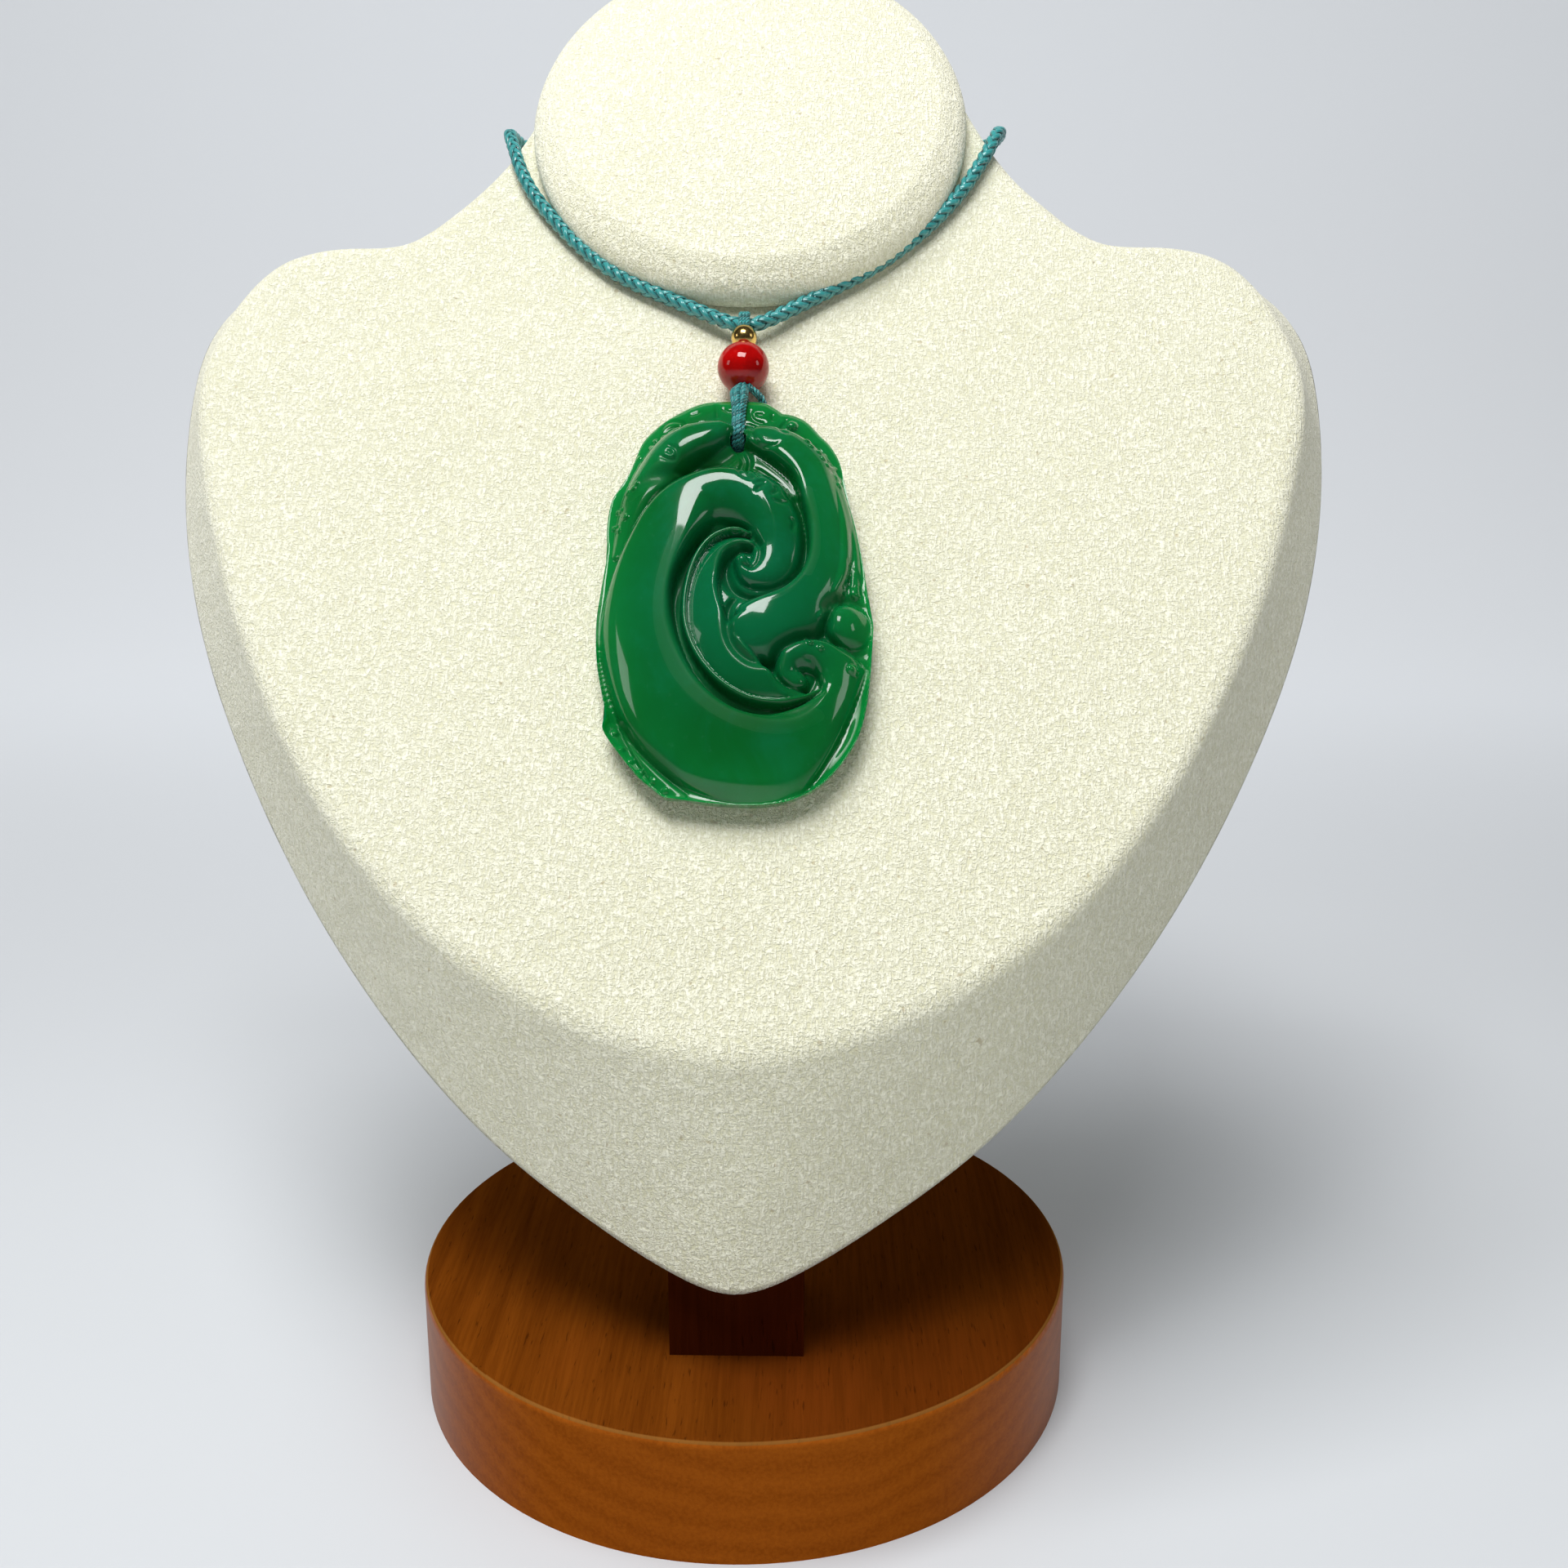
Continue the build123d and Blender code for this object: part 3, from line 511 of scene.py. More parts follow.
class PENDANT_OT_cord(bpy.types.Operator):
    """Braid the neck cord along its route and wrap its knot behind the neck"""
    bl_idname = "pendant.cord"
    bl_label = "Neck Cord"

    def execute(self, context):
        settings = context.scene.pendant_cord
        shade_and_light_tones = tuple(settings.dark), tuple(settings.light)
        silk = silky_cord("silky_cord", *shade_and_light_tones, CORD_CONTRAST)
        fine = silky_cord("silky_thread", *shade_and_light_tones, THREAD_CONTRAST)
        line = smooth_route(CORD_ROUTE)
        lay = settings.lay / MILLIMETRE
        points, faces, marks = braid(line, settings.diameter / MILLIMETRE, lay)
        cord = add_piece("braided_neck_cord", points, faces, silk, "cord_braid",
                         "neck_cord", marks)
        points, faces, marks = braid(knot_coil(), KNOT_DIAMETER, lay * KNOT_LAY_SHARE)
        knot = add_piece("wrapped_knot", points, faces, silk, "cord_braid", "cord_knot", marks)
        ply_width = settings.ply_width / MILLIMETRE
        points, faces, marks = joined([twisted(loop, ply_width) for loop in strand_loops()])
        add_piece("bead_thread", points, faces, fine, "cord_braid", "pendant_thread", marks)
        return {"FINISHED"}


# Beads: radius of the bores, and how wide their softened mouths are

BEAD_TURNS = 72
BEAD_STEPS = 40
BEAD_BORE = 1.12
RED_LIP = 0.18
GOLD_LIP = 0.12


def lathe(profile, centre):
    """Points and quads of a closed profile, columns radius and up, turned on the chest's slope."""
    angle = np.linspace(0, 2 * math.pi, BEAD_TURNS, endpoint=False)
    radius = profile[:, :1]
    points = ((radius * np.cos(angle))[..., None] * CHEST_ACROSS
              + (radius * np.sin(angle))[..., None] * CHEST_OUT
              + profile[:, 1][:, None, None] * CHEST_UP)
    here = np.arange(BEAD_TURNS)
    beside = (here + 1) % BEAD_TURNS
    last = (len(profile) - 1) * BEAD_TURNS
    closing = np.column_stack((last + here, last + beside, beside, here)).tolist()
    return points.reshape(-1, 3) + centre, sheet_faces(len(profile), BEAD_TURNS) + closing


def bead_profile(radius, lip):
    """Round bead with a bore whose mouths are softened."""
    bore = BEAD_BORE
    low = math.asin((bore + lip) / radius)
    swing = np.linspace(low, math.pi - low, BEAD_STEPS)
    outside = np.column_stack((radius * np.sin(swing), radius * np.cos(swing)))
    top = radius * math.cos(low)
    wall = [(bore + 0.3 * lip, -top + 0.1 * lip), (bore, -top + lip), (bore, top - lip),
            (bore + 0.3 * lip, top - 0.1 * lip)]
    return np.vstack((outside, wall))


def bead_size(node):
    """Centre and radius of a bead, in millimetres, from its solid."""
    low, high = (np.array(corner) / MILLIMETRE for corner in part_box(node))
    return (low + high) / 2, (high[0] - low[0]) / 2


def red_stone(colour):
    """Clear red stone with a little cloud inside."""
    finish = Finish("red_stone", Roughness=0.045, IOR=1.54, Specular_IOR_Level=0.0,
                    Transmission_Weight=0.1, Subsurface_Weight=0.3, Subsurface_Scale=0.002,
                    Subsurface_Radius=(1.0, 0.08, 0.04), Coat_Weight=0.9, Coat_Roughness=0.03)
    cloud = finish.grain(finish.place(), 0.5, 3.0)
    share = finish.ranged(cloud, 0.3, 0.75)
    deep = tuple(0.7 * part for part in colour)
    return finish.feed(Base_Color=finish.between(share, deep, colour))


def gold_metal(colour):
    """Polished gold plate with faint handling marks."""
    finish = Finish("gold_metal", Metallic=1.0, Roughness=0.16)
    where = finish.place()
    wear = finish.grain(where, 1.6, 4.0)
    fine = finish.grain(where, 9.0, 2.0)
    warm = tuple(0.72 * part for part in colour)
    return finish.feed(Base_Color=finish.between(finish.ranged(wear, 0.35, 0.7), warm, colour),
                       Roughness=0.1 + wear * 0.16, Normal=finish.bump(fine, 0.01, 0.5))


class BeadSettings(bpy.types.PropertyGroup):
    red: bpy.props.FloatVectorProperty(
        name="Red stone", description="Colour of the large bead", subtype="COLOR",
        default=(0.44, 0.001, 0.001), min=0.0, max=1.0)
    gold: bpy.props.FloatVectorProperty(
        name="Gold", description="Colour of the small metal bead", subtype="COLOR",
        default=(0.93, 0.62, 0.20), min=0.0, max=1.0)


class PENDANT_OT_beads(bpy.types.Operator):
    """Turn the gold bead and the red bead round their bores"""
    bl_idname = "pendant.beads"
    bl_label = "Beads"

    def execute(self, context):
        settings = context.scene.pendant_beads
        centre, radius = bead_size("red_bead")
        add_piece("red_stone_bead", *lathe(bead_profile(radius, RED_LIP), centre),
                  red_stone(tuple(settings.red)), "red_stone", "red_bead")
        centre, radius = bead_size("gold_bead")
        add_piece("gold_spacer_bead", *lathe(bead_profile(radius, GOLD_LIP), centre),
                  gold_metal(tuple(settings.gold)), "gold", "gold_bead")
        return {"FINISHED"}


# Carved pendant: its plane runs from its low edge on the chest to its lifted top edge

STONE_WIDTH = 39.6
STONE_LENGTH = 65.2
STONE_THICKNESS = 9.5
STONE_ACROSS = -0.9
STONE_CENTRE_UP = 66.5
STONE_FOOT_GAP = 0.3
STONE_HEAD_LIFT = 1.9
HOLE_RADIUS = 1.2
HOLE_BELOW_TOP = 8.3
HOLE_SIDES = 44
HOLE_MIDDLE = np.array((0.0, STONE_LENGTH / 2 - HOLE_BELOW_TOP))
HALF = np.array((STONE_WIDTH, STONE_LENGTH)) / 2

# Outline of the carving, clockwise from the top
# Columns: share of half the width, share of half the length
STONE_OUTLINE = (
    (-0.171, 1.000), (-0.327, 0.983), (-0.505, 0.923), (-0.632, 0.859), (-0.732, 0.778),
    (-0.797, 0.657), (-0.851, 0.564), (-0.908, 0.515), (-0.945, 0.454), (-0.961, 0.359),
    (-0.959, 0.269), (-0.944, 0.231), (-0.959, 0.133), (-0.982, 0.000), (-1.000, -0.132),
    (-0.993, -0.265), (-0.971, -0.377), (-0.931, -0.491), (-0.900, -0.580), (-0.913, -0.623),
    (-0.910, -0.657), (-0.859, -0.711), (-0.761, -0.790), (-0.652, -0.872), (-0.553, -0.924),
    (-0.465, -0.965), (-0.386, -0.972), (-0.325, -0.972), (-0.184, -0.990), (0.013, -1.000),
    (0.214, -1.000), (0.393, -0.981), (0.555, -0.936), (0.673, -0.880), (0.797, -0.786),
    (0.889, -0.680), (0.942, -0.557), (0.973, -0.416), (0.981, -0.317), (0.988, -0.245),
    (1.000, -0.161), (0.979, -0.088), (0.957, -0.026), (0.941, 0.090), (0.913, 0.211),
    (0.867, 0.361), (0.814, 0.486), (0.784, 0.574), (0.784, 0.613), (0.754, 0.689),
    (0.686, 0.769), (0.612, 0.819), (0.575, 0.850), (0.500, 0.900), (0.387, 0.932),
    (0.350, 0.928), (0.274, 0.965), (0.161, 0.997),
)

# Raised forms, each a rounded ridge along a line of stations
# Columns: across, up, reach of the ridge to the left and to the right of its line as shares of half
# the width, height of its crest as a share of the thickness, how flat-topped its left side and its
# right side are
RAISED_FORMS = {
    "big_scroll": (
        (0.052, 0.105, 0.057, 0.069, 0.840, 2.2, 2.4),
        (0.094, 0.053, 0.081, 0.089, 0.800, 2.2, 2.4),
        (0.165, 0.065, 0.089, 0.149, 0.795, 2.2, 2.4),
        (0.231, 0.124, 0.121, 0.226, 0.810, 2.0, 2.4),
        (0.269, 0.211, 0.162, 0.242, 0.850, 2.0, 2.4),
        (0.251, 0.311, 0.202, 0.246, 0.920, 1.8, 2.4),
        (0.176, 0.412, 0.263, 0.226, 0.980, 1.7, 2.4),
        (0.041, 0.477, 0.303, 0.149, 1.000, 1.6, 3.0),
        (-0.153, 0.502, 0.323, 0.117, 1.000, 1.8, 3.0),
        (-0.355, 0.455, 0.323, 0.145, 1.000, 2.2, 3.0),
        (-0.510, 0.332, 0.313, 0.182, 1.000, 5.0, 7.0),
        (-0.611, 0.182, 0.267, 0.212, 1.000, 12.0, 7.0),
        (-0.677, -0.000, 0.238, 0.252, 1.000, 18.0, 9.0),
        (-0.692, -0.193, 0.271, 0.283, 1.000, 16.0, 9.0),
        (-0.628, -0.380, 0.295, 0.303, 1.000, 18.0, 9.0),
        (-0.490, -0.551, 0.303, 0.323, 1.000, 18.0, 9.0),
        (-0.290, -0.686, 0.303, 0.333, 1.000, 18.0, 8.0),
        (-0.039, -0.768, 0.295, 0.343, 1.000, 18.0, 7.0),
        (0.246, -0.792, 0.295, 0.343, 1.000, 18.0, 6.0),
        (0.510, -0.748, 0.283, 0.333, 1.000, 14.0, 4.0),
        (0.700, -0.639, 0.232, 0.303, 0.990, 8.0, 3.0),
        (0.797, -0.509, 0.192, 0.222, 0.970, 4.0, 3.0),
        (0.769, -0.391, 0.182, 0.172, 0.960, 3.0, 3.0),
        (0.653, -0.331, 0.162, 0.111, 0.960, 2.4, 4.0),
        (0.507, -0.318, 0.151, 0.085, 0.960, 2.2, 4.0),
        (0.395, -0.358, 0.125, 0.081, 0.940, 2.2, 4.0),
        (0.368, -0.425, 0.117, 0.085, 0.900, 2.2, 3.0),
        (0.441, -0.464, 0.101, 0.077, 0.870, 2.4, 3.0),
    ),
    "inner_crescent": (
        (0.182, 0.190, 0.032, 0.028, 0.740, 2.0, 1.2),
        (0.031, 0.197, 0.044, 0.069, 0.780, 2.0, 1.2),
        (-0.097, 0.133, 0.048, 0.151, 0.810, 2.0, 1.1),
        (-0.151, 0.000, 0.048, 0.222, 0.850, 2.0, 1.1),
        (-0.109, -0.137, 0.048, 0.271, 0.910, 2.0, 1.1),
        (-0.026, -0.245, 0.048, 0.315, 0.955, 2.0, 1.1),
        (0.095, -0.346, 0.048, 0.311, 0.975, 2.0, 1.1),
        (0.233, -0.431, 0.044, 0.238, 0.960, 2.0, 1.1),
        (0.358, -0.499, 0.036, 0.145, 0.910, 2.0, 1.3),
        (0.508, -0.520, 0.032, 0.061, 0.820, 2.0, 1.6),
    ),
    "lip": (
        (0.100, 0.247, 0.020, 0.020, 0.800, 3.0, 3.0),
        (-0.022, 0.261, 0.024, 0.024, 0.820, 3.0, 3.0),
        (-0.161, 0.222, 0.026, 0.026, 0.830, 3.0, 3.0),
        (-0.267, 0.140, 0.028, 0.028, 0.840, 3.0, 3.0),
        (-0.331, 0.028, 0.028, 0.028, 0.840, 3.0, 3.0),
        (-0.358, -0.110, 0.028, 0.028, 0.840, 3.0, 3.0),
        (-0.332, -0.233, 0.028, 0.028, 0.840, 3.0, 3.0),
        (-0.241, -0.360, 0.030, 0.030, 0.850, 3.0, 3.0),
        (-0.090, -0.472, 0.032, 0.032, 0.860, 3.0, 3.0),
        (0.105, -0.543, 0.032, 0.032, 0.860, 3.0, 3.0),
        (0.317, -0.562, 0.032, 0.032, 0.870, 3.0, 3.0),
        (0.489, -0.536, 0.028, 0.028, 0.870, 3.0, 3.0),
        (0.614, -0.496, 0.020, 0.020, 0.860, 3.0, 3.0),
    ),
    "second_ribbon": (
        (0.084, 0.752, 0.093, 0.069, 0.820, 2.6, 3.0),
        (0.209, 0.719, 0.172, 0.105, 0.900, 2.8, 3.4),
        (0.364, 0.659, 0.222, 0.121, 0.955, 3.0, 3.6),
        (0.489, 0.551, 0.263, 0.093, 0.975, 2.4, 4.0),
        (0.545, 0.391, 0.283, 0.069, 0.980, 2.1, 4.0),
        (0.582, 0.226, 0.263, 0.065, 0.980, 2.1, 4.4),
        (0.575, 0.113, 0.263, 0.069, 0.980, 2.2, 4.6),
        (0.516, 0.012, 0.283, 0.085, 0.985, 2.3, 4.6),
        (0.396, -0.079, 0.323, 0.101, 1.000, 2.4, 4.6),
        (0.240, -0.139, 0.374, 0.109, 1.020, 2.6, 4.6),
        (0.123, -0.171, 0.353, 0.133, 1.010, 2.6, 2.6),
    ),
    "ribbon_shoulder": (
        (0.714, 0.559, 0.061, 0.071, 0.830, 2.5, 2.5),
        (0.784, 0.398, 0.061, 0.081, 0.860, 2.5, 2.5),
        (0.799, 0.226, 0.057, 0.091, 0.880, 2.5, 2.5),
        (0.782, 0.085, 0.053, 0.101, 0.880, 2.5, 2.5),
        (0.712, -0.026, 0.048, 0.101, 0.880, 2.5, 2.5),
        (0.623, -0.150, 0.048, 0.101, 0.880, 2.5, 2.5),
    ),
    "left_arch": (
        (-0.135, 0.794, 0.121, 0.081, 0.860, 2.6, 2.6),
        (-0.268, 0.758, 0.162, 0.141, 0.920, 2.6, 2.6),
        (-0.411, 0.710, 0.182, 0.192, 0.940, 2.4, 2.4),
        (-0.569, 0.610, 0.172, 0.182, 0.920, 2.3, 2.3),
        (-0.703, 0.477, 0.145, 0.145, 0.870, 2.2, 2.2),
        (-0.784, 0.339, 0.101, 0.111, 0.800, 2.2, 2.2),
        (-0.862, 0.182, 0.057, 0.057, 0.720, 2.2, 2.2),
    ),
    "berry_stem": (
        (0.621, 0.677, 0.050, 0.050, 0.720, 2.2, 2.2),
        (0.754, 0.478, 0.050, 0.050, 0.740, 2.0, 2.0),
        (0.840, 0.283, 0.044, 0.044, 0.760, 2.0, 2.0),
        (0.872, 0.113, 0.044, 0.044, 0.760, 2.0, 2.0),
        (0.870, -0.012, 0.044, 0.044, 0.740, 2.0, 2.0),
    ),
    "berry": (
        (0.823, -0.176, 0.178, 0.178, 0.950, 2.2, 2.2),
    ),
    "low_strip": (
        (-0.838, -0.649, 0.069, 0.069, 0.820, 2.6, 2.6),
        (-0.763, -0.744, 0.077, 0.077, 0.820, 2.6, 2.6),
        (-0.622, -0.839, 0.077, 0.077, 0.820, 2.6, 2.6),
        (-0.475, -0.920, 0.073, 0.073, 0.820, 2.6, 2.6),
        (-0.359, -0.969, 0.061, 0.061, 0.800, 2.6, 2.6),
    ),
}

# Levels as shares of the thickness, the crown's centre and reach as shares of the halves, and the
# rolled edge, the back's bevel and the hole's softened mouth in millimetres
RIM_LEVEL = 0.62
GIRDLE_LEVEL = 0.36
RIDGE_ROOT = 0.58
RIDGE_POWER = 0.6
HAND_BLEND = 0.35
CROWN_CENTRE = (0.0, 0.32)
CROWN_REACH = (1.08, 1.42)
CROWN_EDGE = 0.2
EDGE_ROLL = 3.2
BACK_BEVEL = 1.5
BEVEL_STEPS = 6
MOUTH_DEPTH = 0.05
MOUTH_REACH = 0.35

# Where the stone counts as thin, in millimetres from its edge, and as hollow: how much wider than
# the cut, and at what depth it counts in full
THIN_REACH = 3.8
HOLLOW_SPREAD = 1.7
HOLLOW_FULL = 0.07

# Half-widths out to which a soft cut and a rubbed shoulder are followed
CUT_REACH = 2.5
SATIN_REACH = 2.0

# The edge's spacing as a share of the face's, and how many of its points the distances skip
EDGE_SPACING = 1.1
EDGE_STEP = 4

# Soft hollows between the forms
# Columns: across, up, half-width as a share of half the width, depth as a share of the thickness
SOFT_HOLLOWS = {
    "outer_groove": (
        (0.182, 0.183, 0.020, 0.050), (0.079, 0.261, 0.024, 0.050), (-0.063, 0.289, 0.028, 0.060),
        (-0.222, 0.246, 0.032, 0.070), (-0.327, 0.147, 0.036, 0.070), (-0.400, 0.014, 0.038, 0.080),
        (-0.431, -0.124, 0.040, 0.080), (-0.398, -0.246, 0.040, 0.080),
        (-0.298, -0.386, 0.040, 0.080), (-0.156, -0.498, 0.040, 0.080),
        (0.020, -0.576, 0.040, 0.080), (0.213, -0.620, 0.040, 0.080), (0.404, -0.620, 0.038, 0.070),
        (0.547, -0.574, 0.032, 0.050), (0.633, -0.503, 0.024, 0.030),
    ),
    "eye_surround": (
        (0.102, 0.168, 0.020, 0.050), (0.022, 0.183, 0.032, 0.100), (-0.053, 0.133, 0.040, 0.130),
        (-0.063, 0.056, 0.040, 0.130), (-0.011, -0.020, 0.032, 0.110),
        (0.090, -0.057, 0.028, 0.090), (0.208, -0.064, 0.028, 0.090), (0.362, -0.023, 0.028, 0.090),
        (0.479, 0.068, 0.030, 0.090), (0.514, 0.197, 0.034, 0.100), (0.495, 0.326, 0.036, 0.090),
        (0.429, 0.427, 0.036, 0.060),
    ),
    "eye_curl": (
        (0.151, 0.204, 0.018, 0.050), (0.183, 0.154, 0.020, 0.060), (0.168, 0.098, 0.020, 0.060),
        (0.121, 0.067, 0.018, 0.050), (0.069, 0.073, 0.016, 0.040),
    ),
    "tip_left": (
        (0.001, -0.069, 0.024, 0.060), (-0.037, -0.110, 0.026, 0.080),
        (-0.047, -0.191, 0.030, 0.090), (-0.020, -0.286, 0.034, 0.100),
        (0.051, -0.352, 0.038, 0.110), (0.159, -0.392, 0.040, 0.120), (0.284, -0.385, 0.040, 0.120),
        (0.322, -0.325, 0.036, 0.110), (0.428, -0.278, 0.036, 0.110), (0.574, -0.238, 0.036, 0.110),
        (0.662, -0.190, 0.036, 0.100), (0.672, -0.109, 0.032, 0.090), (0.722, -0.061, 0.028, 0.070),
    ),
    "curl_low": (
        (0.295, -0.405, 0.028, 0.070), (0.325, -0.471, 0.028, 0.070), (0.412, -0.510, 0.028, 0.070),
        (0.508, -0.503, 0.026, 0.060), (0.575, -0.444, 0.022, 0.050), (0.565, -0.378, 0.018, 0.040),
        (0.517, -0.365, 0.016, 0.020),
    ),
    "berry_ring": (
        (0.662, -0.109, 0.028, 0.050), (0.712, -0.067, 0.028, 0.060), (0.820, -0.047, 0.028, 0.060),
        (0.919, -0.067, 0.024, 0.050),
    ),
    "berry_foot": (
        (0.662, -0.231, 0.028, 0.060), (0.760, -0.291, 0.028, 0.070), (0.867, -0.304, 0.028, 0.060),
        (0.954, -0.284, 0.024, 0.050),
    ),
    "arch_valley": (
        (-0.820, 0.411, 0.053, 0.030), (-0.695, 0.506, 0.061, 0.060), (-0.524, 0.550, 0.069, 0.090),
        (-0.322, 0.602, 0.069, 0.100), (-0.119, 0.647, 0.061, 0.090), (0.003, 0.707, 0.040, 0.060),
    ),
    "strip_groove": (
        (-0.864, -0.578, 0.028, 0.040), (-0.770, -0.661, 0.036, 0.070),
        (-0.629, -0.757, 0.040, 0.070), (-0.470, -0.851, 0.040, 0.070),
        (-0.332, -0.944, 0.032, 0.050),
    ),
    "hole_right": (
        (0.033, 0.722, 0.028, 0.050), (0.087, 0.640, 0.024, 0.050), (0.070, 0.543, 0.020, 0.040),
        (0.113, 0.485, 0.016, 0.030),
    ),
}

# Softly rubbed shoulders along the forms
# Columns: across, up, half-width as a share of half the width
SATIN_SHOULDERS = {
    "scroll_inner": (
        (-0.398, 0.225, 0.040), (-0.459, 0.111, 0.053), (-0.503, -0.021, 0.060),
        (-0.514, -0.151, 0.060), (-0.477, -0.287, 0.060), (-0.378, -0.433, 0.060),
        (-0.221, -0.548, 0.060), (-0.026, -0.634, 0.060), (0.205, -0.681, 0.060),
        (0.434, -0.675, 0.055), (0.605, -0.620, 0.045),
    ),
    "ribbon_right": (
        (0.530, 0.440, 0.030), (0.553, 0.360, 0.036), (0.580, 0.250, 0.036),
        (0.580, 0.130, 0.036), (0.530, 0.030, 0.036),
    ),
}

# Fine engraved lines, columns across and up
# Each starts at a share of its depth and deepens in proportion to how much of it is cut
ENGRAVED_WIDTH = 0.017
ENGRAVED_DEPTH = 0.028
STROKE_START = 0.3
STROKE_DEEPENING = 6
ENGRAVED_LINES = {
    "top_stroke": ((-0.177, 0.956), (-0.168, 0.910), (-0.167, 0.878)),
    "top_arc": ((-0.132, 0.933), (-0.082, 0.910), (-0.038, 0.910)),
    "scroll_outer": ((-0.590, 0.824), (-0.556, 0.865), (-0.494, 0.874), (-0.425, 0.856),
                     (-0.423, 0.810), (-0.470, 0.783), (-0.550, 0.779)),
    "scroll_inner": ((-0.570, 0.801), (-0.522, 0.828), (-0.461, 0.833), (-0.447, 0.815)),
    "scroll_line": ((-0.361, 0.819), (-0.313, 0.828), (-0.270, 0.842)),
    "upper_marks": ((-0.366, 0.901), (-0.305, 0.914)),
    "left_stroke": ((-0.538, 0.883), (-0.574, 0.869)),
    "small_curl": ((-0.525, 0.685), (-0.476, 0.672), (-0.450, 0.650), (-0.460, 0.619),
                   (-0.509, 0.615), (-0.564, 0.628)),
    "small_curl_eye": ((-0.511, 0.654), (-0.492, 0.641)),
    "brow": ((-0.457, 0.571), (-0.409, 0.575), (-0.354, 0.584)),
    "brow_long": ((-0.277, 0.615), (-0.198, 0.624), (-0.119, 0.632)),
    "brow_key": ((-0.216, 0.615), (-0.202, 0.588), (-0.167, 0.610), (-0.148, 0.588)),
    "key_right": ((0.346, 0.883), (0.358, 0.865), (0.334, 0.838), (0.316, 0.811),
                  (0.317, 0.766), (0.348, 0.752), (0.379, 0.748)),
    "curl_right": ((0.091, 0.924), (0.086, 0.896), (0.112, 0.865), (0.155, 0.851),
                   (0.192, 0.847)),
    "mark_a": ((0.135, 0.896), (0.179, 0.896)),
    "mark_b": ((0.253, 0.901), (0.254, 0.865)),
    "cloud": ((0.038, 0.838), (0.094, 0.833), (0.138, 0.820), (0.107, 0.802), (0.095, 0.788),
              (0.116, 0.734), (0.147, 0.699), (0.184, 0.677), (0.246, 0.672), (0.288, 0.672),
              (0.319, 0.690)),
    "nose_ridge": ((-0.056, 0.730), (-0.025, 0.712), (0.000, 0.694), (0.020, 0.663),
                   (0.039, 0.632), (0.028, 0.602), (0.011, 0.571), (0.018, 0.536),
                   (0.032, 0.506), (0.062, 0.488), (0.093, 0.475)),
    "lip": ((0.119, 0.602), (0.175, 0.584), (0.230, 0.558), (0.297, 0.523), (0.346, 0.488),
            (0.377, 0.454), (0.390, 0.415)),
    "stroke_a": ((0.067, 0.540), (0.098, 0.510), (0.129, 0.484)),
    "stroke_b": ((0.109, 0.532), (0.140, 0.514), (0.171, 0.493)),
    "stroke_c": ((0.142, 0.458), (0.178, 0.467), (0.208, 0.462), (0.179, 0.441), (0.143, 0.415)),
    "stroke_d": ((0.287, 0.458), (0.299, 0.441), (0.293, 0.428), (0.258, 0.406)),
    "stroke_e": ((0.276, 0.381), (0.324, 0.376), (0.378, 0.385)),
    "stroke_f": ((0.403, 0.304), (0.422, 0.287), (0.410, 0.245)),
    "stem_a": ((0.821, 0.137), (0.838, 0.075), (0.826, 0.025)),
    "stem_b": ((0.856, 0.116), (0.867, 0.054), (0.855, 0.009)),
    "stem_c": ((0.885, 0.096), (0.902, 0.042), (0.931, -0.016)),
    "right_rim": ((0.587, 0.741), (0.679, 0.630), (0.758, 0.499), (0.828, 0.327),
                  (0.857, 0.158), (0.802, 0.013)),
    "crescent_lip": ((0.163, 0.200), (0.072, 0.267), (-0.012, 0.271), (-0.124, 0.254),
                     (-0.235, 0.216), (-0.314, 0.145), (-0.368, 0.046), (-0.383, -0.093),
                     (-0.376, -0.206), (-0.287, -0.349), (-0.092, -0.485), (0.127, -0.557),
                     (0.315, -0.572), (0.490, -0.545), (0.580, -0.510), (0.626, -0.495)),
}

# Small raised grains on the rim, the lobes and the low strip
# Columns: across, up, radius as a share of half the width
GRAINS = (
    (-0.751, 0.689, 0.020), (-0.656, 0.729, 0.022), (-0.627, 0.765, 0.020),
    (-0.572, 0.765, 0.018), (-0.821, 0.486, 0.024), (-0.773, 0.495, 0.022),
    (-0.744, 0.517, 0.018), (-0.874, 0.404, 0.028), (-0.822, 0.352, 0.026),
    (-0.904, 0.322, 0.026), (-0.871, 0.297, 0.022), (0.526, 0.725, 0.026),
    (0.551, 0.694, 0.022), (0.618, 0.672, 0.026), (0.643, 0.641, 0.026), (0.685, 0.610, 0.026),
    (0.722, 0.623, 0.022), (0.764, 0.527, 0.026), (0.402, 0.837, 0.045),
    (0.520, -0.267, 0.022), (0.545, -0.300, 0.022), (0.620, -0.320, 0.022),
    (0.850, -0.390, 0.040),
    (-0.830, -0.655, 0.026), (-0.775, -0.730, 0.026), (-0.706, -0.786, 0.026),
    (-0.636, -0.842, 0.026), (-0.553, -0.890, 0.026), (-0.455, -0.935, 0.026),
)

# Height of a grain of this radius: the others are higher or lower in step with their own
GRAIN_HEIGHT = 0.045
GRAIN_REACH = 0.026


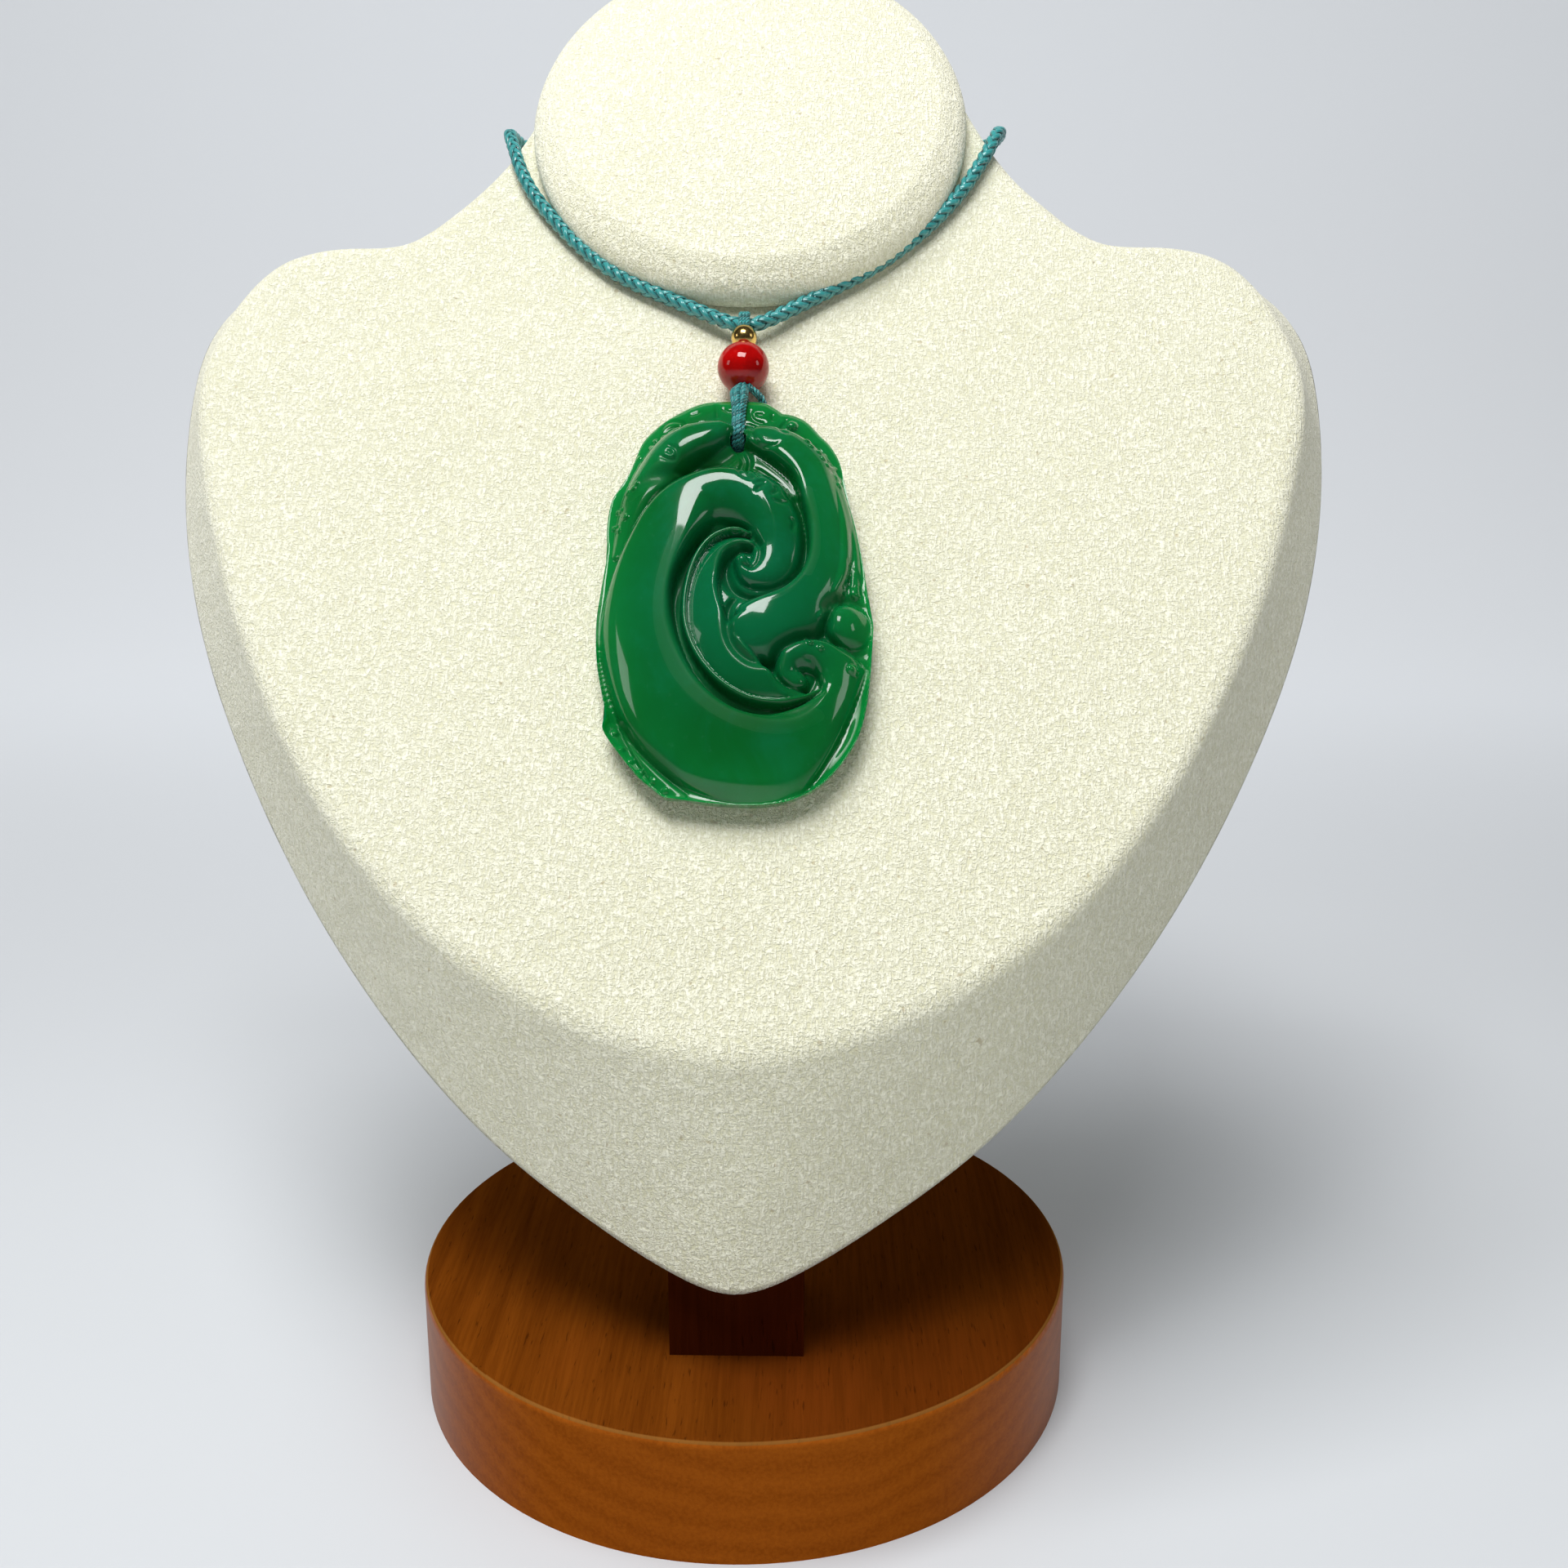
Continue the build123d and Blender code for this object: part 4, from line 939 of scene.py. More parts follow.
def loop_distance(points, loop):
    """Distance from each point to a closed loop, above zero inside it."""
    start, end = loop, np.roll(loop, -1, axis=0)
    side = end - start
    rise = np.where(side[:, 1] == 0, 1, side[:, 1])
    found = []
    for some in np.array_split(points, max(1, len(points) // 3000)):
        offset = some[:, None, :] - start[None]
        along = np.clip((offset * side).sum(axis=2) / (side ** 2).sum(axis=1), 0, 1)
        nearest = np.linalg.norm(offset - along[..., None] * side, axis=2).min(axis=1)
        above = (start[:, 1] > some[:, 1:]) != (end[:, 1] > some[:, 1:])
        crossing = start[:, 0] + (some[:, 1:] - start[:, 1]) * side[:, 0] / rise
        inside = (above & (some[:, :1] < crossing)).sum(axis=1) % 2 == 1
        found.append(np.where(inside, nearest, -nearest))
    return np.concatenate(found)


def nearest_share(points, across, up, reach):
    """How far points lie from a station, in shares of its half-width, for those that it reaches."""
    width = reach * HALF[0]
    near = np.flatnonzero((np.abs(points[:, 0] - across * HALF[0]) < width)
                          & (np.abs(points[:, 1] - up * HALF[1]) < width))
    away = np.hypot(points[near, 0] - across * HALF[0], points[near, 1] - up * HALF[1]) / width
    return near, away


def ridge_swell(points, station, heading):
    """Points near a station of a ridge, and how far it swells there, from 0 to 1."""
    across, up, left, right, left_flat, right_flat = station
    offset = points - (across * HALF[0], up * HALF[1])
    near = np.flatnonzero(np.abs(offset).max(axis=1) < max(left, right) * HALF[0])
    offset = offset[near]
    away = np.hypot(*offset.T) + 1e-9
    hand = (heading[0] * offset[:, 1] - heading[1] * offset[:, 0]) / away
    hand = np.clip(hand / HAND_BLEND, -1, 1)
    hand = 0.5 + 0.5 * hand * (1.5 - 0.5 * hand ** 2)
    reach = (right + (left - right) * hand) * HALF[0]
    flat = right_flat + (left_flat - right_flat) * hand
    return near, np.clip(1 - (away / reach) ** flat, 0, 1) ** RIDGE_POWER


def hollow_depth(points, widened=1.0):
    """Depth of the soft hollows at each point as a share of the thickness."""
    total = np.zeros(len(points))
    for rows in SOFT_HOLLOWS.values():
        cut = np.zeros(len(points))
        for across, up, reach, depth in through(rows, per_span=16):
            near, away = nearest_share(points, across, up, reach * CUT_REACH * widened)
            cut[near] = np.maximum(cut[near], depth * np.exp(-(away * CUT_REACH) ** 2))
        total += cut
    return total


def carving_level(points):
    """Height of the carving as a share of the thickness, before its edge is rolled."""
    level = np.full(len(points), RIM_LEVEL)
    for rows in RAISED_FORMS.values():
        stations = through(rows, per_span=24)
        headings = np.gradient(stations[:, :2] * HALF, axis=0) if len(rows) > 1 else [(1.0, 0.0)]
        for station, heading in zip(stations, headings):
            crest = station[4]
            near, swell = ridge_swell(points, np.delete(station, 4),
                                      heading / np.linalg.norm(heading))
            level[near] = np.maximum(level[near], RIDGE_ROOT + (crest - RIDGE_ROOT) * swell)
    level -= hollow_depth(points)
    bow = (((points / HALF - CROWN_CENTRE) / CROWN_REACH) ** 2).sum(axis=1)
    return level * (CROWN_EDGE + (1 - CROWN_EDGE) * np.sqrt(np.clip(1 - bow, 0, 1)))


def engraving(points):
    """Depth of the fine lines, less the height of the grains, as a share of the thickness."""
    cut = np.zeros(len(points))
    for rows in ENGRAVED_LINES.values():
        line = through(rows, per_span=24)
        from_end = np.minimum(np.linspace(0, 1, len(line)), np.linspace(1, 0, len(line)))
        fade = np.minimum(1, STROKE_DEEPENING * from_end + STROKE_START)
        for (across, up), share in zip(line, fade):
            near, away = nearest_share(points, across, up, ENGRAVED_WIDTH * CUT_REACH)
            depth = share * ENGRAVED_DEPTH * np.exp(-(away * CUT_REACH) ** 2)
            cut[near] = np.maximum(cut[near], depth)
    for across, up, reach in GRAINS:
        near, away = nearest_share(points, across, up, reach)
        swell = np.sqrt(np.clip(1 - away ** 2, 0, 1))
        cut[near] -= GRAIN_HEIGHT * swell * reach / GRAIN_REACH
    return cut


def hole_gap(points):
    """Distance from each point to the edge of the hole, below zero inside it."""
    return np.hypot(*(points - HOLE_MIDDLE).T) - HOLE_RADIUS


def filled(points, edge, margin):
    """Triangles between flat points, inside an edge loop and outside the hole."""
    triangles = np.array(delaunay_2d_cdt([Vector(point) for point in points], [], [], 0, 1e-7)[2])
    middles = points[triangles].mean(axis=1)
    return triangles[(loop_distance(middles, edge) > margin)
                     & (hole_gap(middles) > -0.01 * HOLE_RADIUS)]


def lattice(spacing, edge):
    """Staggered points inside an edge loop and outside the hole."""
    columns = np.arange(-HALF[0], HALF[0], spacing)
    rows = np.arange(-HALF[1], HALF[1], spacing * math.sqrt(3) / 2)
    across, up = np.meshgrid(columns, rows)
    across = across + (np.arange(len(rows)) % 2 * spacing / 2)[:, None]
    points = np.column_stack((across.ravel(), up.ravel()))
    return points[(loop_distance(points, edge) > 0.7 * spacing)
                  & (hole_gap(points) > 0.6 * spacing)]


def side_rings(outer):
    """Rings from the carved face's edge round to the flat back, the first one left out."""
    ahead = np.roll(outer, -1, axis=0) - np.roll(outer, 1, axis=0)
    inside = np.column_stack((-ahead[:, 1], ahead[:, 0])) / np.hypot(*ahead.T)[:, None]
    rings = []
    for step in range(1, BEVEL_STEPS + 1):
        swing = step / BEVEL_STEPS * math.pi / 2
        tuck = BACK_BEVEL * (1 - math.cos(swing))
        fall = GIRDLE_LEVEL * STONE_THICKNESS * (1 - math.sin(swing))
        rings.append(np.column_stack((outer + inside * tuck, np.full(len(outer), fall))))
    return rings


def band(upper, lower):
    """Quads between two closed rings of point numbers."""
    return np.column_stack((upper, np.roll(upper, -1), np.roll(lower, -1), lower)).tolist()


def satin_share(flat):
    """How softly rubbed each point is, from 0 to 1."""
    satin = np.zeros(len(flat))
    for rows in SATIN_SHOULDERS.values():
        for across, up, reach in through(rows, per_span=16):
            near, away = nearest_share(flat, across, up, reach * SATIN_REACH)
            satin[near] = np.maximum(satin[near], np.exp(-(away * SATIN_REACH) ** 4))
    return satin


def carved_mesh(spacing):
    """Points, faces and surface marks of the pendant, its flat back on its own plane."""
    outer = even_loop(through(STONE_OUTLINE, closed=True) * HALF, spacing * EDGE_SPACING)
    coarse = outer[::EDGE_STEP]
    turns = np.linspace(0, 2 * math.pi, HOLE_SIDES, endpoint=False)
    hole = HOLE_MIDDLE + HOLE_RADIUS * np.column_stack((np.cos(turns), np.sin(turns)))
    flat = np.vstack((outer, hole, lattice(spacing, coarse)))
    faces = filled(flat, coarse, -0.15).tolist()
    inward = np.clip(loop_distance(flat, coarse), 0, None)
    inward[:len(outer)] = 0
    roll = np.sqrt(1 - (1 - np.clip(inward / EDGE_ROLL, 0, 1)) ** 2)
    fine = engraving(flat)
    mouth = MOUTH_DEPTH * np.exp(-np.clip(hole_gap(flat), 0, None) / MOUTH_REACH)
    level = carving_level(flat) - fine - mouth
    height = STONE_THICKNESS * (GIRDLE_LEVEL + roll * (level - GIRDLE_LEVEL))
    rings = side_rings(outer)
    points = np.vstack((np.column_stack((flat, height)), *rings,
                        np.column_stack((hole, np.zeros(len(hole))))))
    above = np.arange(len(outer))
    for step in range(BEVEL_STEPS):
        below = len(flat) + step * len(outer) + np.arange(len(outer))
        faces += band(above, below)
        above = below
    hole_front = len(outer) + np.arange(len(hole))
    hole_back = len(points) - len(hole) + np.arange(len(hole))
    faces += band(hole_back, hole_front)
    rim = rings[-1][:, :2]
    closing = filled(np.vstack((rim, hole)), rim, 0.0)
    faces += np.concatenate((above, hole_back))[closing[:, ::-1]].tolist()
    # The hollow mark carries painted shade into the stone's colour, as well as its roughness and
    # coat
    hollow = (np.clip(hollow_depth(flat, HOLLOW_SPREAD) / HOLLOW_FULL, 0, 1)
              + 0.5 * np.clip(fine / ENGRAVED_DEPTH, 0, 1))
    others = len(points) - len(flat)
    marks = {"thin": np.append(np.exp(-inward / THIN_REACH), np.ones(others)),
             "hollow": np.append(hollow, np.zeros(others)),
             "satin": np.append(satin_share(flat), np.zeros(others))}
    return points, faces, marks


def green_stone(edge, body, heart):
    """Polished green stone: paler at its thin edge, bluer at its heart, with painted shade
    darkening its hollows.
    """
    finish = Finish("green_stone", IOR=1.5, Specular_IOR_Level=0.15, Coat_Roughness=0.035,
                    Subsurface_Weight=0.25, Subsurface_Scale=0.003,
                    Subsurface_Radius=(0.12, 1.0, 0.35))
    thin = finish.mark("thin")
    hollow = finish.mark("hollow")
    satin = finish.mark("satin")
    where = finish.place()
    cloud = finish.grain(where, 0.05, 4.0, 0.55, 0.4)
    fleck = finish.grain(where, 0.9, 3.0, 0.6)
    from_middle = finish.distance(where, on_chest((0.5, 64.0, 6.0)))
    heart_share = (finish.ranged(from_middle, 24.0, 3.0) * 0.85 + cloud * 0.5 - 0.22).held()
    milky = finish.ranged(finish.grain(where, 0.08, 5.0, 0.62, 0.6), 0.46, 0.70) * 0.4
    inner = finish.between(milky, finish.between(heart_share, body, heart), (0.004, 0.150, 0.075))
    rim = finish.between((thin * 0.95 + cloud * 0.3 - 0.12).held(), inner, edge)
    pale = finish.ranged(fleck, 0.62, 0.8) * 0.10
    flecked = finish.between(pale, rim, (0.06, 0.26, 0.16))
    # Painted shade: the hollows and engraved lines are darkened towards a deep green
    shaded = finish.between((hollow * 0.25).held(), flecked, (0.0, 0.055, 0.008))
    rough = (0.10 + hollow * 0.30 + satin * 0.35 + fleck * 0.04).held()
    polish = (0.88 - hollow * 0.75 - satin * 0.80).held()
    return finish.feed(Base_Color=shaded, Roughness=rough, Coat_Weight=polish,
                       Normal=finish.bump(finish.grain(where, 0.28, 2.0), 0.05, 0.35))


class StoneSettings(bpy.types.PropertyGroup):
    spacing: bpy.props.FloatProperty(
        name="Point spacing", description="Distance between the carved face's points",
        default=0.00021, min=0.0001, max=0.002, unit="LENGTH", precision=5)
    edge: bpy.props.FloatVectorProperty(
        name="Thin edge", description="Colour where the stone is thin", subtype="COLOR",
        default=(0.003, 0.200, 0.036), min=0.0, max=1.0)
    body: bpy.props.FloatVectorProperty(
        name="Body", description="Colour of the thick stone", subtype="COLOR",
        default=(0.0002, 0.078, 0.010), min=0.0, max=1.0)
    heart: bpy.props.FloatVectorProperty(
        name="Heart", description="Colour at the middle of the carving", subtype="COLOR",
        default=(0.001, 0.110, 0.042), min=0.0, max=1.0)


class PENDANT_OT_stone(bpy.types.Operator):
    """Carve the scroll pendant and polish it"""
    bl_idname = "pendant.stone"
    bl_label = "Carved Stone"

    def execute(self, context):
        settings = context.scene.pendant_stone
        points, faces, marks = carved_mesh(settings.spacing / MILLIMETRE)
        foot = on_chest((STONE_ACROSS, STONE_CENTRE_UP - STONE_LENGTH / 2, STONE_FOOT_GAP))
        head = on_chest((STONE_ACROSS, STONE_CENTRE_UP + STONE_LENGTH / 2, STONE_HEAD_LIFT))
        slope = (head - foot) / np.linalg.norm(head - foot)
        out = np.cross(CHEST_ACROSS, slope)
        placed = ((foot + head) / 2 + points[:, 0:1] * CHEST_ACROSS + points[:, 1:2] * slope
                  + points[:, 2:3] * out)
        stone = green_stone(tuple(settings.edge), tuple(settings.body), tuple(settings.heart))
        add_piece("carved_scroll_pendant", placed, faces, stone, "green_stone", "pendant", marks)
        return {"FINISHED"}


# Cloth: the bust's cover and the padded cap on its neck

FRONT_WIDTH = 172.4
FRONT_LENGTH = 192.5
BACK_WIDTH = 186.8
BACK_LENGTH = 220.5

# Right half of each outline, from the lowest point to the top of the neck
# Columns: share of half the width, share of the length
FRONT_OUTLINE = (
    (0.000, 0.000), (0.139, 0.008), (0.267, 0.029), (0.464, 0.081), (0.626, 0.153),
    (0.783, 0.262), (0.893, 0.371), (0.974, 0.486), (1.000, 0.575), (0.969, 0.625),
    (0.880, 0.683), (0.760, 0.698), (0.661, 0.702), (0.565, 0.740), (0.507, 0.773),
    (0.464, 0.808), (0.432, 0.842), (0.396, 0.880), (0.335, 0.928), (0.215, 0.976), (0.000, 1.000),
)
BACK_OUTLINE = (
    (0.000, 0.000), (0.086, 0.011), (0.214, 0.043), (0.343, 0.082), (0.535, 0.163),
    (0.691, 0.252), (0.818, 0.346), (0.919, 0.444), (1.000, 0.640), (0.975, 0.705),
    (0.900, 0.742), (0.780, 0.750), (0.640, 0.752), (0.530, 0.780), (0.460, 0.810),
    (0.415, 0.840), (0.390, 0.868), (0.360, 0.900), (0.305, 0.940), (0.195, 0.980), (0.000, 1.000),
)
STATIONS = 480
EDGE_INSET = 2.3
FRONT_MIDDLE = (0.0, 112.0, 0.0)
BACK_MIDDLE = (0.0, 125.0)
CAP_CENTRE = (-0.6, 158.3)
CAP_HALF = (36.35, 37.5)
CAP_HEIGHT = 8.9
CAP_FALL = 2.6
CAP_FLATNESS = 2.4
CAP_SINK = -0.05
CAP_STATIONS = 200

# Rings of points on the bust's front, round its softened edge, on its walls and on its back, and on
# the cap's crown and its underside
FRONT_RINGS = 76
SOFT_EDGE_RINGS = 9
WALL_RINGS = 42
BACK_RINGS = 18
CROWN_RINGS = 44
UNDERSIDE_RINGS = 12

# Rolled edge of the cap, columns: share of its half width, height
CAP_EDGE = (
    (0.915, 5.9), (0.942, 5.35), (0.963, 4.7), (0.980, 3.95), (0.992, 3.2), (0.999, 2.4),
    (1.000, 1.7), (0.996, 1.05), (0.988, 0.5), (0.978, 0.1), (0.965, -0.05),
)

# Rumpling of the cover and of the cap, columns: depth, length of its waves
COVER_RUMPLE = (0.10, 9.0)
CAP_RUMPLE = (0.09, 11.0)


def even_spline(points, count):
    """Stations at even chord shares on the closed cubic spline through the points."""
    points = np.asarray(points, dtype=float)
    number = len(points)
    chord = np.linalg.norm(np.roll(points, -1, axis=0) - points, axis=1)
    before = np.roll(chord, 1)
    system = np.zeros((number, number))
    for row in range(number):
        system[row, row - 1] += before[row]
        system[row, row] += 2 * (before[row] + chord[row])
        system[row, (row + 1) % number] += chord[row]
    ahead = (np.roll(points, -1, axis=0) - points) / chord[:, None]
    bend = np.linalg.solve(system, 6 * (ahead - np.roll(ahead, 1, axis=0)))
    knots = np.concatenate(([0.0], np.cumsum(chord)))
    places = np.linspace(0, knots[-1], count, endpoint=False)
    span = np.clip(np.searchsorted(knots, places, side="right") - 1, 0, number - 1)
    after = (span + 1) % number
    gap = chord[span][:, None]
    right = ((places - knots[span]) / chord[span])[:, None]
    left = 1 - right
    return (left * points[span] + right * points[after]
            + gap ** 2 / 6 * ((left ** 3 - left) * bend[span] + (right ** 3 - right) * bend[after]))


def whole_outline(shares, width, length):
    """Both halves of an outline as one loop, columns across and up."""
    right = [(side * width / 2, up * length) for side, up in shares]
    left = [(-across, up) for across, up in right[-2:0:-1]]
    return even_spline(right + left, STATIONS)


def closing_rings(edge, middle, rings):
    """Rings of points from an edge loop towards a middle point, without either of them."""
    shares = 1 - np.linspace(0, 1, rings, endpoint=False)[1:]
    return list(middle + (edge - middle) * shares[:, None, None])


def capped_sheet(rows, first_middle, last_middle):
    """A sheet of closed rows with a fan at each end."""
    count, columns = len(rows), len(rows[0])
    points = np.vstack((*rows, first_middle[None], last_middle[None]))
    faces = sheet_faces(count, columns)
    low, high = count * columns, count * columns + 1
    top = (count - 1) * columns
    for column in range(columns):
        beside = (column + 1) % columns
        faces.append((low, beside, column))
        faces.append((high, top + column, top + beside))
    return points, faces


def rumpled(points, faces, depth, wavelength):
    """The same mesh with its points moved along their normals by soft random waves."""
    waves = []
    for point in points:
        place = Vector(point) / wavelength
        waves.append(noise.noise(place) + 0.5 * noise.noise(place * 2.3))
    return points + point_normals(points, faces) * (depth * np.array(waves))[:, None], faces


def point_normals(points, faces):
    """Unit normal at each point of a mesh."""
    corners = np.array([(face[0], face[1], face[2]) for face in faces])
    a, b, c = (points[corners[:, index]] for index in range(3))
    flat = np.cross(b - a, c - a)
    total = np.zeros_like(points)
    for index in range(3):
        np.add.at(total, corners[:, index], flat)
    size = np.linalg.norm(total, axis=1)
    return total / np.where(size == 0, 1, size)[:, None]


def woven_cloth(name, tint, pile, weave):
    """Napped cloth: a close weave under short soft pile, with slight wear and dust."""
    finish = Finish(name, Roughness=0.88, Specular_IOR_Level=0.25, Sheen_Weight=0.5,
                    Sheen_Roughness=0.55, Sheen_Tint=(1.0, 0.98, 0.93, 1.0))
    where = finish.place()
    broad = finish.grain(where, 0.035, 4.0, 0.55, 0.6)
    clump = finish.grain(where, 0.7, 2.0, 0.6)
    fibre = finish.grain(where, 1.8, 2.0, 0.6, 1.0)
    threads = finish.grain(finish.place((2.4, 0.6, 0.6)), 1.3, 2.0, 0.6, 0.5)
    crossing = finish.grain(finish.place((0.7, 2.0, 2.0)), 1.3, 2.0, 0.6, 0.5)
    darker = tuple(part * shade for part, shade in zip(tint, (0.74, 0.73, 0.60)))
    nap = finish.ranged(fibre * 0.45 + threads * 0.38 + crossing * 0.17, 0.36, 0.62)
    share = (broad * 0.3 + nap * 0.85).held()
    stray = finish.ranged(finish.grain(where, 0.8, 1.0), 0.72, 0.80) * 0.5
    colour = finish.between(stray, finish.between(share, darker, tint), (0.42, 0.33, 0.16))
    height = clump * 0.3 + nap * 0.9 + (threads + crossing) * weave
    return finish.feed(Base_Color=colour, Roughness=0.8 + fibre * 0.18,
                       Normal=finish.bump(height, pile, 0.75))


def bust_mesh():
    """The cover: its front, a softened front edge, the walls, and the flat back."""
    flat = whole_outline(FRONT_OUTLINE, FRONT_WIDTH, FRONT_LENGTH)
    front = on_chest(np.column_stack((flat, np.zeros(STATIONS))))
    back = on_rear(whole_outline(BACK_OUTLINE, BACK_WIDTH, BACK_LENGTH))
    wall = back - front
    inward = np.cross(CHEST_OUT, np.roll(front, -1, axis=0) - np.roll(front, 1, axis=0))
    inward /= np.linalg.norm(inward, axis=1)[:, None]
    inset = front + inward * EDGE_INSET
    below = front + wall / np.linalg.norm(wall, axis=1)[:, None] * EDGE_INSET
    middle, behind = on_chest(FRONT_MIDDLE), on_rear(BACK_MIDDLE)
    rows = closing_rings(inset, middle, FRONT_RINGS)[::-1] + [inset]
    rows += [(1 - share) ** 2 * inset + 2 * share * (1 - share) * front + share ** 2 * below
             for share in np.linspace(0, 1, SOFT_EDGE_RINGS)[1:]]
    rows += [below + (back - below) * share for share in np.linspace(0, 1, WALL_RINGS)[1:]]
    rows += closing_rings(back, behind, BACK_RINGS)
    return rumpled(*capped_sheet(rows, middle, behind), *COVER_RUMPLE)


def cap_mesh():
    """The padded cap: a low crown, its rolled edge and its flat underside."""
    turn = np.linspace(0, 2 * math.pi, CAP_STATIONS, endpoint=False)
    ring = np.column_stack((np.cos(turn), np.sin(turn)))
    crown = [(share, CAP_HEIGHT - CAP_FALL * share ** CAP_FLATNESS)
             for share in np.linspace(0.02, 0.88, CROWN_RINGS)]
    under = [(share, CAP_SINK) for share in np.linspace(0.90, 0.05, UNDERSIDE_RINGS)]
    rows = []
    for share, height in (*crown, *CAP_EDGE, *under):
        flat = np.array(CAP_CENTRE) + ring * np.array(CAP_HALF) * share
        rows.append(on_chest(np.column_stack((flat, np.full(CAP_STATIONS, height)))))
    top, bottom = on_chest((*CAP_CENTRE, CAP_HEIGHT)), on_chest((*CAP_CENTRE, CAP_SINK))
    return rumpled(*capped_sheet(rows, top, bottom), *CAP_RUMPLE)


class ClothSettings(bpy.types.PropertyGroup):
    cover: bpy.props.FloatVectorProperty(
        name="Cover", description="Colour of the cloth on the bust", subtype="COLOR",
        default=(0.91, 0.905, 0.745), min=0.0, max=1.0)
    cap: bpy.props.FloatVectorProperty(
        name="Cap", description="Colour of the cloth on the padded neck cap", subtype="COLOR",
        default=(0.99, 0.98, 0.81), min=0.0, max=1.0)
    pile: bpy.props.FloatProperty(
        name="Pile", description="Height of the cloth's nap",
        default=0.0003, min=0.0, max=0.002, unit="LENGTH", precision=5)


class PENDANT_OT_cover(bpy.types.Operator):
    """Cover the bust and pad the cap on its neck"""
    bl_idname = "pendant.cover"
    bl_label = "Bust Cover"

    def execute(self, context):
        settings = context.scene.pendant_cloth
        pile = settings.pile / MILLIMETRE
        points, faces = bust_mesh()
        cloth = woven_cloth("bust_cloth", tuple(settings.cover), pile, 0.25)
        add_piece("bust_cover", points, faces, cloth, "bust_fabric", "bust")
        points, faces = cap_mesh()
        cloth = woven_cloth("cap_cloth", tuple(settings.cap), pile, 0.3)
        cap = add_piece("padded_cap", points, faces, cloth, "cap_fabric", "neck_cap")
        return {"FINISHED"}


# Wooden foot and post, finished on their own solids
# Columns: node, axis of its grain, a point on its pith, a factor that darkens its colours

WOOD_PIECES = (
    ("base_disc", 1, (12.0, 0.0, 95.0), (1.0, 1.0, 1.0)),
    ("post", 2, (4.0, 60.0, 0.0), (0.38, 0.26, 0.5)),
)

# How far inside the foot's edge the masks of its side and of the highlight painted along its upper
# edge start and are full, in millimetres
RIM_STARTS = 0.6
RIM_ENDS = 0.45


def tinted(colour, share):
    """A colour with each of its parts multiplied by the share, or by its own."""
    return tuple(float(part) for part in np.array(colour) * share)


def foot_masks(finish, here):
    """Where the foot's side is, and the line along its upper edge where a highlight is painted,
    from 0 to 1.
    """
    low, high = (np.array(corner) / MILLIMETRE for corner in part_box("base_disc"))
    middle, reach = (low + high) / 2, (high[0] - low[0]) / 2
    plan = finish.node("ShaderNodeVectorMath", {"operation": "MULTIPLY"}, {
        0: here, 1: (1.0, 1.0, 0.0)})
    from_axis = finish.distance(plan, (middle[0], middle[1], 0.0))
    upward = finish.coordinate(here, 2)
    outer = finish.ranged(from_axis, reach - RIM_STARTS, reach - RIM_ENDS)
    upper = finish.ranged(upward, high[2] - RIM_STARTS, high[2] - RIM_ENDS)
    return outer * (1 - upper), outer * upper


def stained_wood(name, along, pith, dark, light):
    """Stained, oiled wood with growth rings round a line along its grain, fibres and pores, with
    painted shade towards the right and a painted highlight along the foot's upper edge.
    """
    finish = Finish(name, Roughness=0.5, Specular_IOR_Level=0.0, Coat_Roughness=0.3)
    stretch = [1.0, 1.0, 1.0]
    stretch[along] = 0.04
    here = finish.place()
    where = finish.place(stretch)
    sway = finish.grain(where, 0.035, 2.0)
    reach = finish.distance(where, np.array(pith) * stretch)
    rings = ((reach + sway * 14.0) * 1.55).sine() * 0.5 + 0.5
    fibre = finish.grain(where, 1.6, 4.0, 0.65, 0.3)
    tone = finish.grain(here, 0.016, 2.0)
    stretch[along] *= 3.0
    pore = finish.ranged(finish.grain(finish.place(stretch), 2.3, 2.0, 0.5), 0.62, 0.74)
    share = (rings * 0.24 + finish.ranged(fibre, 0.3, 0.7) * 0.38 + tone * 0.5 - 0.05).held()
    plain = finish.between(share, dark, light)
    ruddy = finish.between(share, dark, tinted(light, (1.0, 0.82, 1.0)))
    warmed = finish.between(finish.ranged(tone, 0.5, 0.68), plain, ruddy)
    pored = finish.between(pore * 0.55, warmed, tinted(dark, 0.3))
    # Painted shade: both pieces grow darker towards the right
    aside = finish.coordinate(here, 0)
    shade_painted_right = finish.between(finish.ranged(aside, -30.0, 45.0) * 0.5, pored, tinted(dark, 0.5))
    side, rim = foot_masks(finish, here)
    pale = finish.between(share, tinted(dark, 2.3), tinted(light, 1.9))
    # Painted highlight: a pale tan line along the foot's upper edge
    colour = finish.between(rim * 0.3, finish.between(side, shade_painted_right, pale), (0.45, 0.22, 0.05))
    return finish.feed(Base_Color=colour, Roughness=0.42 + fibre * 0.2 + pore * 0.15,
                       Coat_Weight=side * finish.ranged(aside * aside, 500.0, 2300.0) * 0.6,
                       Normal=finish.bump(fibre * 0.5 - pore * 0.5, 0.05, 0.6))


class WoodSettings(bpy.types.PropertyGroup):
    light: bpy.props.FloatVectorProperty(
        name="Light grain", description="Colour of the wood's light bands", subtype="COLOR",
        default=(0.185, 0.048, 0.0040), min=0.0, max=1.0)
    dark: bpy.props.FloatVectorProperty(
        name="Dark grain", description="Colour of the wood's dark bands", subtype="COLOR",
        default=(0.085, 0.019, 0.0014), min=0.0, max=1.0)


class PENDANT_OT_wood(bpy.types.Operator):
    """Stain and oil the foot and the post"""
    bl_idname = "pendant.wood"
    bl_label = "Foot and Post"

    def execute(self, context):
        settings = context.scene.pendant_wood
        for node, along, pith, shade in WOOD_PIECES:
            wood = stained_wood(f"{node}_wood", along, pith, tinted(settings.dark, shade),
                                tinted(settings.light, shade))
            materials = bpy.data.objects[node].data.materials
            materials.clear()
            materials.append(wood)
        return {"FINISHED"}


# Stage: pale floor and backdrop, window-like lights and the camera, in metres and degrees

